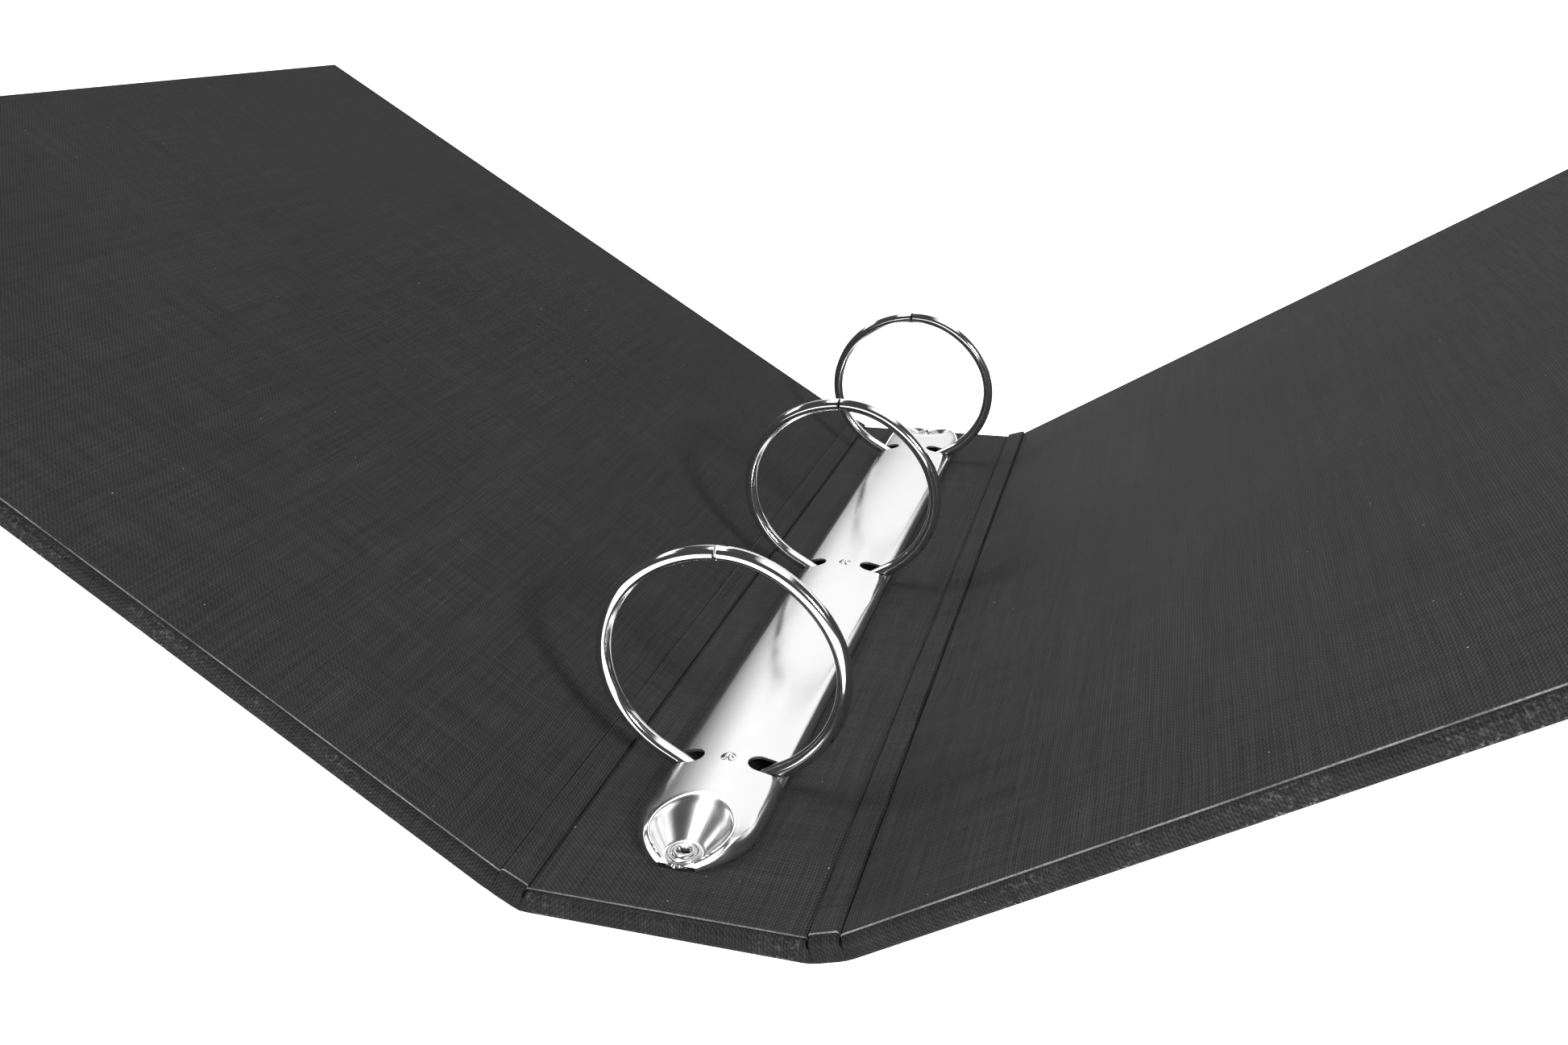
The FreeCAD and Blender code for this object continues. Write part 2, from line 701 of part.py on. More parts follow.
def side_frames(side, half_turn):
    """Placements of one side's strip and cover: at their hinge axes, raised from flat."""
    strip_angle = value("Dims.%s_strip_angle" % side)
    cover_angle = value("Dims.%s_cover_angle" % side)
    turned = FreeCAD.Placement(FreeCAD.Vector(0, 0, 0), FreeCAD.Rotation(Z_AXIS, half_turn))
    to_strip = FreeCAD.Placement(
        FreeCAD.Vector(value("Dims.spine_pitch / 2"), 0, 0),
        FreeCAD.Rotation(Y_AXIS, -strip_angle),
    )
    to_cover = FreeCAD.Placement(
        FreeCAD.Vector(value("Dims.strip_pitch"), 0, 0),
        FreeCAD.Rotation(Y_AXIS, strip_angle - cover_angle),
    )
    strip_frame = spine_frame.multiply(turned).multiply(to_strip)
    return strip_frame, strip_frame.multiply(to_cover)


make_spine(spine_frame)
hinge_lines = {}
for side, half_turn in (("front", 180), ("back", 0)):
    strip_frame, cover_frame = side_frames(side, half_turn)
    make_strip(side, strip_frame)
    make_cover(side, cover_frame)
    hinge_lines[side + " strip hinge"] = strip_frame.Base
    hinge_lines[side + " cover hinge"] = cover_frame.Base

lining_top = axis_up + value("Dims.board_thick + Dims.cloth_thick + Dims.lining_thick")
mechanism_middle = FreeCAD.Vector(
    case_middle - value("Dims.mechanism_aside"), value("Dims.mechanism_up"), lining_top
)
right_frame = FreeCAD.Placement(mechanism_middle, FreeCAD.Rotation())
left_frame = FreeCAD.Placement(mechanism_middle, FreeCAD.Rotation(Z_AXIS, 180))

make_housing(right_frame)
rivet_frame = FreeCAD.Placement(
    FreeCAD.Vector(mechanism_middle.x, mechanism_middle.y, axis_up), FreeCAD.Rotation()
)
for end, sign in ENDS:
    make_rivet("%s_rivet" % end, "%d * Dims.rivet_place" % sign, rivet_frame)
make_plate("left_hinge_plate", left_frame)
make_plate("right_hinge_plate", right_frame)
for ring_name, ring in RINGS:
    # the left halves are the right ones turned half round, so their places along Y swap
    make_ring_half("left_%s_ring_half" % ring_name, -ring, left_frame)
    make_ring_half("right_%s_ring_half" % ring_name, ring, right_frame)

doc.recompute()
pivot = FreeCAD.Vector(value("Dims.pivot_aside"), 0, value("Dims.pivot_up"))
hinge_lines["right plate pivot"] = right_frame.multVec(pivot)
hinge_lines["left plate pivot"] = left_frame.multVec(pivot)
for name, point in hinge_lines.items():
    print("%s: x %.4f z %.4f" % (name, point.x, point.z))

# ---------------------------------------------------------------- checks and export

for item in doc.Objects:
    if "Invalid" in item.State or "Error" in item.State:
        raise RuntimeError("%s failed: %s" % (item.Label, item.State))
for piece in subparts:
    if piece.Shape.isNull() or not piece.Shape.isValid():
        raise RuntimeError("%s has no valid shape" % piece.Label)
    if len(piece.Shape.Solids) != 1:
        raise RuntimeError("%s is %d solids" % (piece.Label, len(piece.Shape.Solids)))

os.makedirs("parts", exist_ok=True)
for piece in subparts:
    piece.Shape.exportStep("parts/%s.step" % piece.Label)
print("%d sub-parts written" % len(subparts))
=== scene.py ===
import contextlib
import json
import math

import bmesh
import bpy
import numpy as np
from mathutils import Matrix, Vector


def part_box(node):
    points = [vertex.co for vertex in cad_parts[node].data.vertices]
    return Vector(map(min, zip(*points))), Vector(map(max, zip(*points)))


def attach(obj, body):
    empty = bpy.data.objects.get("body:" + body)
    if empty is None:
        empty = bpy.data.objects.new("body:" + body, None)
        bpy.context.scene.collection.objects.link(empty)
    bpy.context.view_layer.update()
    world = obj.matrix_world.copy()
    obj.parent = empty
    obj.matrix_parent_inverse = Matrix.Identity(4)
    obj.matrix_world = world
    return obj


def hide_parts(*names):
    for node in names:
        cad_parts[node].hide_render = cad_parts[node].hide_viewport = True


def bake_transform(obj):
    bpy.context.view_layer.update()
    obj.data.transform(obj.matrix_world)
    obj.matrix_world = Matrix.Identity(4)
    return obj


# The looks of a three-ring binder lying open: book cloth over the boards, a lining sheet inside,
# a pressed, nickel-plated housing with dished ends, tubular rivets and wire rings.

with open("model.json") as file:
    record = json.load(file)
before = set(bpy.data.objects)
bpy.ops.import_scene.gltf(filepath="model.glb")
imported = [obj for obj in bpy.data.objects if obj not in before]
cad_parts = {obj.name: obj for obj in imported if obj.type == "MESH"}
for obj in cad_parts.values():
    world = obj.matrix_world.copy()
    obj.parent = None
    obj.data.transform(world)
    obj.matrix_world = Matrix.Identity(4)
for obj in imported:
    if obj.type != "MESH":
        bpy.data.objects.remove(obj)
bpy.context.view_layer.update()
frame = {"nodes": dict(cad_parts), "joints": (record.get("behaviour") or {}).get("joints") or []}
hinges = {joint["name"]: joint for joint in frame["joints"]}

MM = 0.001
QUARTER_TURN = np.radians([0, 18, 36, 54, 72, 90])


def smooth_step(t):
    t = np.clip(t, 0.0, 1.0)
    return t * t * (3 - 2 * t)


def soft_min(a, b, blend):
    """The lower of two heights, rounded over where they cross."""
    share = np.clip(0.5 + 0.5 * (b - a) / blend, 0.0, 1.0)
    return b + (a - b) * share - blend * share * (1 - share)


def link_object(name, mesh):
    made = bpy.data.objects.new(name, mesh)
    bpy.context.scene.collection.objects.link(made)
    return made


@contextlib.contextmanager
def reworked(mesh):
    """A bmesh of the mesh, which is written back at the end."""
    work = bmesh.new()
    work.from_mesh(mesh)
    yield work
    work.to_mesh(mesh)
    work.free()


def quad_faces(count, width, closed=False):
    """The quads between rows of points: (row, column, the indices of the four corners)."""
    for row in range(count - 1):
        for column in range(width if closed else width - 1):
            first, following = row * width + column, row * width + (column + 1) % width
            yield row, column, (first, following, following + width, first + width)


def give_uvs(mesh, name, uv_rows, scale=1.0):
    """A UV map from one place for each point of the mesh."""
    uv = np.array(uv_rows, float).reshape(-1, 2) * scale
    corners = np.zeros(len(mesh.loops), np.int32)
    mesh.loops.foreach_get("vertex_index", corners)
    mesh.uv_layers.new(name=name).data.foreach_set("uv", uv[corners].ravel())


# ---------------------------------------------------------------- materials


class Nodes:
    """A node tree, with short calls for the nodes used here."""

    def __init__(self, tree):
        self.tree = tree

    def add(self, kind, inputs=None, **settings):
        made = self.tree.nodes.new(kind)
        for word, setting in settings.items():
            setattr(made, word, setting)
        for socket, source in (inputs or {}).items():
            self.give(made.inputs[socket], source)
        return made

    def give(self, socket, source):
        if isinstance(source, bpy.types.NodeSocket):
            self.tree.links.new(source, socket)
        else:
            socket.default_value = source

    def math(self, operation, *sources):
        made = self.tree.nodes.new("ShaderNodeMath")
        made.operation = operation
        for socket, source in zip(made.inputs, sources):
            self.give(socket, source)
        return made.outputs[0]

    def stretch(self, vector, scale):
        made = self.add("ShaderNodeVectorMath", {0: vector, 1: scale}, operation="MULTIPLY")
        return made.outputs[0]

    def noise(self, vector, scale, detail=2.0, rough=0.5):
        made = self.add(
            "ShaderNodeTexNoise",
            {"Vector": vector, "Scale": scale, "Detail": detail, "Roughness": rough},
        )
        return made.outputs["Fac"]

    def specks(self, vector, scale, size, share):
        """Dots of about size, in cells of a Voronoi pattern, in that share of the cells."""
        made = self.add("ShaderNodeTexVoronoi", {"Vector": vector, "Scale": scale})
        chosen = self.add("ShaderNodeSeparateColor", {"Color": made.outputs["Color"]})
        few = self.math("LESS_THAN", chosen.outputs[0], share)
        reach = self.math("MULTIPLY", chosen.outputs[1], size)
        near = self.math("LESS_THAN", made.outputs["Distance"], reach)
        return self.math("MULTIPLY", few, near)

    def spread(self, value, low, high, out_low, out_high):
        made = self.add(
            "ShaderNodeMapRange",
            {
                "Value": value,
                "From Min": low,
                "From Max": high,
                "To Min": out_low,
                "To Max": out_high,
            },
        )
        return made.outputs["Result"]

    def grey(self, value):
        return self.add("ShaderNodeCombineColor", {0: value, 1: value, 2: value}).outputs[0]

    def mix(self, share, a, b):
        """a where share is 0 and b where it is 1, for plain values."""
        made = self.add("ShaderNodeMix", {"Factor": share, "A": a, "B": b})
        return made.outputs["Result"]

    def bump(self, height, distance, strength=1.0, over=None):
        inputs = {"Height": height, "Distance": distance, "Strength": strength}
        if over is not None:
            inputs["Normal"] = over
        return self.add("ShaderNodeBump", inputs).outputs["Normal"]

    def within(self, value, low, high, soft):
        """1 between low and high, falling to 0 over a soft edge."""
        rising = self.spread(value, low - soft, low + soft, 0.0, 1.0)
        falling = self.spread(value, high - soft, high + soft, 1.0, 0.0)
        return self.math("MULTIPLY", rising, falling)


class Shader(Nodes):
    """A material with one Principled surface."""

    def __init__(self, name):
        self.material = bpy.data.materials.new(name)
        self.material.use_nodes = True
        super().__init__(self.material.node_tree)
        self.tree.nodes.clear()
        self.surface = self.add("ShaderNodeBsdfPrincipled")
        output = self.add("ShaderNodeOutputMaterial")
        self.tree.links.new(self.surface.outputs["BSDF"], output.inputs["Surface"])

    def finish(self, **inputs):
        for word, source in inputs.items():
            self.give(self.surface.inputs[word.replace("_", " ")], source)
        return self.material


# The book cloth: thread pitches in metres, how far threads wander, the scales of the slubs and
# bands across and along a thread, and the tones of worn, frayed and linty places.
WARP_PITCH = 0.588 * MM
WEFT_PITCH = 0.551 * MM
THREAD_WANDER = 1.2 * MM
SLUB_SCALES = (1700.0, 40.0)
BAND_SCALES = (420.0, 9.0)
WORN_TONE = 0.13
FRAYED_TONE = 0.17
LINT_TONE = 0.22


def weave_height(shader, place):
    """Height of a plain weave, 0 to 1, at a place in the cloth counted in threads. The warp is
    tight, so it dips little and stands out as ribs."""
    split = shader.add("ShaderNodeSeparateXYZ", {"Vector": place})
    across, along = split.outputs[0], split.outputs[1]

    def thread(side, run, shift, dip):
        ridge = shader.math("ABSOLUTE", shader.math("SINE", shader.math("MULTIPLY", side, math.pi)))
        row = shader.math("ADD", shader.math("FLOOR", side), shift)
        phase = shader.math("MULTIPLY", shader.math("ADD", run, row), math.pi)
        over = shader.math("MULTIPLY_ADD", shader.math("COSINE", phase), dip, 1 - dip)
        return shader.math("MULTIPLY", ridge, over)

    weft = shader.math("MULTIPLY", thread(along, across, 1.0, 0.5), 0.7)
    return shader.math("MAXIMUM", thread(across, along, 0.0, 0.27), weft)


def cloth_material(name, tone, gloss, rough):
    """Starched book cloth: a plain weave of uneven threads, lint, and folds worn lighter. The
    weave's dips are painted darker and its thread tops lighter, as painted shade and painted
    highlight.
    """
    shader = Shader(name)
    place = shader.add("ShaderNodeUVMap", uv_map="cloth").outputs["UV"]
    drift = shader.add("ShaderNodeTexNoise", {"Vector": place, "Scale": 60.0}).outputs["Color"]
    wander = shader.stretch(drift, (THREAD_WANDER, THREAD_WANDER, 0.0))
    bent = shader.add("ShaderNodeVectorMath", {0: place, 1: wander}, operation="ADD").outputs[0]
    height = weave_height(shader, shader.stretch(bent, (1 / WARP_PITCH, 1 / WEFT_PITCH, 0.0)))

    def uneven(scales, detail):
        """Unevenness along the warp threads, added to the same along the weft."""
        across, along = scales
        warp = shader.noise(shader.stretch(bent, (across, along, 0.0)), 1.0, detail)
        weft = shader.noise(shader.stretch(bent, (along, across, 0.0)), 1.0, detail)
        return shader.math("ADD", warp, weft)

    slubs = uneven(SLUB_SCALES, 1.0)
    bands = uneven(BAND_SCALES, 2.0)
    cloud = shader.noise(place, 14.0, 4.0, 0.6)

    # Painted shade and highlight: the colour follows the weave's height, darker in the dips between
    # threads and lighter on the thread tops.
    shade = shader.spread(height, 0.0, 1.0, 0.45, 1.3)
    for value, low, high, dark, light in (
        (slubs, 0.7, 1.3, 0.72, 1.28),
        (bands, 0.7, 1.3, 0.92, 1.08),
        (cloud, 0.3, 0.7, 0.93, 1.07),
    ):
        shade = shader.math("MULTIPLY", shade, shader.spread(value, low, high, dark, light))
    shade = shader.math("MULTIPLY", shade, tone)

    wear = shader.add("ShaderNodeAttribute", attribute_name="wear").outputs["Fac"]
    rubbed = shader.noise(shader.stretch(place, (900.0, 900.0, 0.0)), 1.0, 3.0, 0.7)
    rubbed = shader.spread(rubbed, 0.52, 0.7, 0.0, 1.0)
    patches = shader.spread(shader.noise(place, 45.0, 2.0), 0.48, 0.66, 0.0, 1.0)
    worn = shader.math("MULTIPLY", patches, wear)
    shade = shader.mix(shader.math("MULTIPLY", rubbed, worn), shade, WORN_TONE)
    frayed = shader.specks(place, 1700.0, 0.45, 0.4)
    bare = shader.math("MULTIPLY", shader.math("POWER", wear, 6.0), patches)
    shade = shader.mix(shader.math("MULTIPLY", frayed, bare), shade, FRAYED_TONE)
    lint = shader.specks(place, 190.0, 0.05, 0.05)
    dust = shader.specks(place, 900.0, 0.16, 0.012)
    shade = shader.mix(shader.math("MAXIMUM", lint, dust), shade, LINT_TONE)

    fine = shader.math("MULTIPLY_ADD", slubs, 0.35, height)
    normal = shader.bump(cloud, 0.0006, 0.25)
    normal = shader.bump(fine, 0.00014, 1.0, normal)
    return shader.finish(
        Base_Color=shader.grey(shade),
        Roughness=shader.spread(slubs, 0.7, 1.3, rough - 0.08, rough + 0.1),
        Specular_IOR_Level=gloss,
        Normal=normal,
    )


def raw_edge_material():
    """The lining sheet's cut edge: paper backing and frayed thread ends. It is lighter than the
    cloth partly by its own tone and partly as a painted highlight where the edge catches light.
    """
    shader = Shader("lining_cut_edge")
    place = shader.add("ShaderNodeUVMap", uv_map="cloth").outputs["UV"]
    fibres = shader.noise(shader.stretch(place, (1500.0, 1500.0, 0.0)), 1.0, 3.0, 0.7)
    patches = shader.noise(place, 70.0, 2.0)
    # Lighter than the cloth: partly the paper's own tone, partly a painted highlight standing in
    # for the edge catching light.
    shade = shader.spread(fibres, 0.3, 0.75, 0.12, 0.36)
    shade = shader.math("MULTIPLY", shade, shader.spread(patches, 0.3, 0.7, 0.6, 1.3))
    return shader.finish(
        Base_Color=shader.grey(shade),
        Roughness=0.95,
        Specular_IOR_Level=0.1,
        Normal=shader.bump(fibres, 0.0001, 0.6),
    )


def metal_material(name, tone, rough, grain, dirt=0.0, drawn=True):
    """Plated steel: polished, with fine drawing lines, soft smudges and small pits. The lines
    run along the second direction of the "metal" UV map, or along Y where there is none."""
    shader = Shader(name)
    place = shader.add("ShaderNodeTexCoord").outputs["Object"]
    along = shader.add("ShaderNodeUVMap", uv_map="metal").outputs["UV"] if drawn else place
    lines = shader.noise(shader.stretch(along, (5200.0, 60.0, 5200.0)), 1.0, 2.0)
    smudge = shader.noise(place, 90.0, 3.0, 0.6)
    orange = shader.noise(place, 700.0, 2.0)
    pits = shader.specks(place, 1300.0, 0.3, 0.03)
    shade = shader.spread(smudge, 0.3, 0.7, tone * 0.95, tone)
    shade = shader.mix(shader.math("MULTIPLY", pits, dirt), shade, 0.2)
    normal = shader.bump(orange, 0.00001, 0.35)
    normal = shader.bump(lines, 0.00001, grain, normal)
    return shader.finish(
        Base_Color=shader.grey(shade),
        Metallic=1.0,
        Roughness=shader.spread(smudge, 0.3, 0.7, rough * 0.8, rough * 1.25),
        Normal=normal,
    )


def board_material():
    """Greyboard: pulped fibre with darker flecks."""
    shader = Shader("greyboard")
    place = shader.add("ShaderNodeTexCoord").outputs["Object"]
    fibres = shader.noise(shader.stretch(place, (700.0, 260.0, 1400.0)), 1.0, 4.0, 0.65)
    flecks = shader.specks(place, 420.0, 0.25, 0.2)
    shade = shader.spread(fibres, 0.3, 0.7, 0.2, 0.3)
    shade = shader.mix(shader.math("MULTIPLY", flecks, 0.5), shade, 0.1)
    return shader.finish(
        Base_Color=shader.grey(shade), Roughness=0.9, Normal=shader.bump(fibres, 0.0002, 0.5)
    )


book_cloth = cloth_material("book_cloth", 0.0215, 0.05, 0.7)
lining_cloth = cloth_material("lining_cloth", 0.0268, 0.05, 0.68)
cut_edge = raw_edge_material()
greyboard = board_material()
housing_nickel = metal_material("housing_nickel", 0.86, 0.19, 0.35)
ring_nickel = metal_material("ring_nickel", 0.84, 0.08, 0.05)
rivet_nickel = metal_material("rivet_nickel", 0.6, 0.2, 0.2, 0.8)
# Unplated steel for the cut slot walls and rivet bores, made very dark as painted shade inside
# these openings.
bare_steel_painted_shade = metal_material("bare_steel_painted_shade", 0.16, 0.5, 0.3, drawn=False)
plate_steel = metal_material("plate_steel", 0.6, 0.38, 0.8, 0.5, drawn=False)

# Which material a CAD node gets, by the end of its name, and the turn that keeps an edge crisp.
CRISP_TURN = 32
NODE_MATERIALS = {
    "board": greyboard,
    "plate": plate_steel,
    "rivet": rivet_nickel,
    "ring_half": ring_nickel,
    "ring_housing": housing_nickel,
    "cloth": book_cloth,
    "lining": lining_cloth,
}
for name, node in frame["nodes"].items():
    words = [word for word in NODE_MATERIALS if name.endswith(word)]
    node.data.materials.clear()
    node.data.materials.append(NODE_MATERIALS[words[0]])
    node.data.shade_smooth()
    node.data.set_sharp_from_angle(angle=math.radians(CRISP_TURN))

# ---------------------------------------------------------------- floor, light and camera

# The panels of the studio: their two directions, the one that they face, then where each begins
# and ends as a slope of that direction, how soft its sides are, and how bright it is.
FLOOR_HALF = 12.0
STUDIO_DIM = 0.06
STUDIO_PANELS = [
    ("x", "z", "ahead", ((-0.52, 3.0), (0.24, 1.1), 0.16, 1.1)),
    ("x", "y", "above", ((0.25, 0.75), (-0.9, 0.8), 0.08, 1.6)),
    ("x", "y", "above", ((-0.42, -0.26), (-0.35, 1.0), 0.04, 8.0)),
    ("y", "z", "aside", ((-0.3, 1.0), (0.72, 1.0), 0.05, 2.2)),
]


def look_from(light, target):
    light.rotation_euler = (Vector(target) - light.location).to_track_quat("-Z", "Y").to_euler()


def soft_box(name, place, target, size, power):
    lamp = bpy.data.lights.new(name, "AREA")
    lamp.shape = "RECTANGLE"
    lamp.size, lamp.size_y = size
    lamp.energy = power
    made = link_object(name, lamp)
    made.location = place
    look_from(made, target)
    return made


def make_floor():
    mesh = bpy.data.meshes.new("floor")
    corners = [(x * FLOOR_HALF, y * FLOOR_HALF, 0) for x, y in ((-1, -1), (1, -1), (1, 1), (-1, 1))]
    mesh.from_pydata(corners, [], [(0, 1, 2, 3)])
    floor = link_object("floor", mesh)
    shader = Shader("floor_white")
    place = shader.add("ShaderNodeTexCoord").outputs["Object"]
    grain = shader.spread(shader.noise(place, 30.0, 3.0), 0.3, 0.7, 0.9, 0.93)
    mesh.materials.append(
        shader.finish(
            Base_Color=shader.grey(grain),
            Roughness=0.9,
            Specular_IOR_Level=0.1,
            Emission_Color=(1, 1, 1, 1),
            Emission_Strength=1.0,
        )
    )


def make_world():
    """A dim studio with a white horizon and the bright panels of STUDIO_PANELS."""
    world = bpy.data.worlds.new("studio")
    bpy.context.scene.world = world
    world.use_nodes = True
    nodes = Nodes(world.node_tree)
    way = nodes.add("ShaderNodeTexCoord").outputs["Generated"]
    split = nodes.add("ShaderNodeSeparateXYZ", {"Vector": way})
    x, y, z = split.outputs
    ways = {"x": x, "y": y, "z": z}
    for way, source in (("ahead", y), ("above", z), ("aside", nodes.math("MULTIPLY", x, -1.0))):
        ways[way] = nodes.math("MAXIMUM", source, 0.001)

    light = nodes.math("ADD", STUDIO_DIM, nodes.within(z, -1.0, 0.045, 0.03))
    for first, second, over, (first_range, second_range, soft, strength) in STUDIO_PANELS:
        first = nodes.math("DIVIDE", ways[first], ways[over])
        second = nodes.math("DIVIDE", ways[second], ways[over])
        across = nodes.within(first, *first_range, soft)
        inside = nodes.math("MULTIPLY", across, nodes.within(second, *second_range, soft))
        light = nodes.math("ADD", light, nodes.math("MULTIPLY", inside, strength))
    background = world.node_tree.nodes["Background"]
    nodes.give(background.inputs["Color"], (1, 1, 1, 1))
    nodes.give(background.inputs["Strength"], light)


def make_camera():
    data = bpy.data.cameras.new("camera")
    data.sensor_width = 36.0
    data.lens = 31.566
    data.shift_x = 0.02205
    data.shift_y = -0.08274
    data.clip_start = 0.01
    data.clip_end = 60.0
    camera = link_object("camera", data)
    camera.location = (0.080357, -0.348192, 0.165271)
    camera.rotation_euler = (1.290004, 0.025346, 0.297782)
    bpy.context.scene.camera = camera


make_floor()
make_world()
make_camera()
soft_box("key_light", (0.72, -0.7, 0.45), (0, 0, 0.03), (0.16, 0.16), 11.5)
fill_light = soft_box("fill_light", (-1.2, 0.1, 0.95), (0.1, 0, 0.03), (0.8, 0.8), 32)
fill_light.visible_glossy = False
bpy.context.scene.view_settings.view_transform = "Standard"
bpy.context.scene.view_settings.look = "None"

# ---------------------------------------------------------------- the case's skins

# Thicknesses and widths in metres, and the angles that the case stands open at, as the CAD
# model has them. Skins are laid out flat first: out from the spine's middle, y, and up from the
# hinge axes.
BOARD_THICK = 3.3 * MM
STRIP_BOARD_THICK = 4.1 * MM
CLOTH_THICK = 0.4 * MM
LINING_THICK = 0.4 * MM
CASE_TALL = 299.4 * MM
COVER_REACH = 254.0 * MM
TURN_IN = 15.0 * MM
LINING_MARGIN = 2.0 * MM
STRIP_ANGLES = {"front": math.radians(28.0), "back": math.radians(17.0)}
COVER_ANGLES = {"front": math.radians(32.5), "back": math.radians(30.8)}

# How the skins are shaped over the creases and at the edges. Each crease has its own half width
# between the boards' covered edges, its own height above the axis at the ends of the case, its
# own further depth along the case, and its own roundness at the boards' edges. CREASE_LEAD is the
# flat run before that rounding, and CREASE_TOE is how far above the floor it ends.
BEND_HALF = 0.3 * MM
CREASE_LEAD = 0.4 * MM
CREASE_TOE = 0.15 * MM
CREASE_SHAPES = {
    ("front", "strip"): (1.05 * MM, 3.05 * MM, 0.8 * MM, 0.45 * MM),
    ("front", "cover"): (0.2 * MM, 3.6 * MM, 0.0 * MM, 1.0 * MM),
    ("back", "strip"): (0.9 * MM, 2.9 * MM, 0.7 * MM, 0.45 * MM),
    ("back", "cover"): (0.75 * MM, 2.9 * MM, 0.6 * MM, 0.45 * MM),
}
CREASE_REACH = 1.7 * MM
DEEPER_RUN = 9 * MM
FOLD_RADIUS = 0.9 * MM
FOLD_LEAD = 0.25 * MM
CREASE_PINCH = 0.5 * MM
CREASE_PRESS = 0.1 * MM
CUT_EDGE_TALL = 0.36 * MM
MERGE_DISTANCE = 0.004 * MM
SPECK_LENGTH = 0.002 * MM
SKIN_CRISP_TURN = 50


class Side:
    """One half of the open case: where its two hinge axes are, and how far it is raised."""

    def __init__(self, name):
        self.name = name
        self.sign = -1 if name == "front" else 1
        strip_pos = hinges[name + "_strip_hinge"]["pos_m"]
        cover_pos = hinges[name + "_cover_hinge"]["pos_m"]
        other = "back" if name == "front" else "front"
        other_pos = hinges[other + "_strip_hinge"]["pos_m"]
        self.strip_axis = (strip_pos[0], strip_pos[2])
        self.cover_axis = (cover_pos[0], cover_pos[2])
        self.to_strip = abs(strip_pos[0] - other_pos[0]) / 2
        self.to_cover = self.to_strip + math.dist(self.strip_axis, self.cover_axis)
        self.strip_angle = STRIP_ANGLES[name]
        self.cover_angle = COVER_ANGLES[name]
        self.mid_strip = (self.to_strip + self.to_cover) / 2
        self.fore_edge = self.to_cover + COVER_REACH

    def joined_bodies(self, part):
        """The two bodies that a skin lies on."""
        if part == "spine":
            return "spine", self.name + "_strip"
        return self.name + "_strip", self.name + "_cover"

    def fold(self, out, up):
        """Takes places on the case laid flat, out from the spine's middle and up from the
        hinge axes, into the open case: x and z."""
        past_strip = smooth_step(0.5 + (out - self.to_strip) / (2 * BEND_HALF))
        past_cover = smooth_step(0.5 + (out - self.to_cover) / (2 * BEND_HALF))
        angle = self.strip_angle * past_strip
        angle = angle + (self.cover_angle - self.strip_angle) * past_cover
        near_spine = out < self.mid_strip
        reach = np.where(near_spine, out - self.to_strip, out - self.to_cover)
        axis_x = np.where(near_spine, self.strip_axis[0], self.cover_axis[0])
        axis_z = np.where(near_spine, self.strip_axis[1], self.cover_axis[1])
        x = axis_x + self.sign * (reach * np.cos(angle) - up * np.sin(angle))
        z = axis_z + reach * np.sin(angle) + up * np.cos(angle)
        return x, z

    def crease_line(self, part):
        """The axis that a skin bends at, and the direction in which it crosses the axis."""
        if part == "spine":
            return self.strip_axis, self.strip_angle / 2
        return self.cover_axis, (self.strip_angle + self.cover_angle) / 2


SIDES = [Side("front"), Side("back")]


def crease_profile(side, crease, left_up, right_up, skin_up):
    """The line that a skin takes over the edge of one board, across a crease and over the
    next: (out, up, how much deeper it goes along the middle of the case)."""
    centre = side.to_strip if crease == "strip" else side.to_cover
    wall, floor_up, deeper, radius = CREASE_SHAPES[side.name, crease]
    wall -= skin_up / 4
    floor_up += skin_up - LINING_THICK
    corner = [(math.sin(a), math.cos(a)) for a in np.radians([0, 30, 60, 90])]
    line = []
    for end, up in ((-1, left_up), (1, right_up)):
        drop = min(radius, max(up - floor_up - CREASE_TOE, 0.0))
        points = [(wall + radius + CREASE_LEAD, up, 0.0)]
        points += [(wall + radius * (1 - s), up - drop * (1 - c), 0.0) for s, c in corner]
        points.append((wall * 0.9, min(floor_up + CREASE_TOE, up), 0.6))
        points.append((wall * 0.6, floor_up, 1.0))
        points = [(centre + end * out, height, low * deeper) for out, height, low in points]
        line += points if end < 0 else [(centre, floor_up, deeper)] + points[::-1]
    return line


def section_line(side, part, skin_up):
    """The skin's line from the spine's middle to mid strip, or from mid strip to the cover."""
    low_board = BOARD_THICK + skin_up
    high_board = STRIP_BOARD_THICK + skin_up
    if part == "spine":
        outs = np.linspace(0, side.to_strip - 3.4 * MM, 6)
        crease = crease_profile(side, "strip", low_board, high_board, skin_up)
        flat = [(out, low_board, 0.0) for out in outs]
        return flat + crease + [(side.mid_strip, high_board, 0.0)]
    crease = crease_profile(side, "cover", high_board, low_board, skin_up)
    outs = np.linspace(side.to_cover + 4 * MM, side.fore_edge - TURN_IN - 4 * MM, 26)
    flat = [(out, low_board, 0.0) for out in outs]
    return [(side.mid_strip, high_board, 0.0)] + crease + flat


def deeper_share(y):
    """0 at the head and tail, and 1 along the rest of the case."""
    return float(smooth_step((CASE_TALL / 2 - LINING_MARGIN - abs(y)) / DEEPER_RUN))


def crease_share(side, out):
    """1 on a hinge axis, falling to 0 at the boards' ends."""
    away = np.minimum(abs(out - side.to_strip), abs(out - side.to_cover))
    return smooth_step(1 - away / CREASE_REACH)


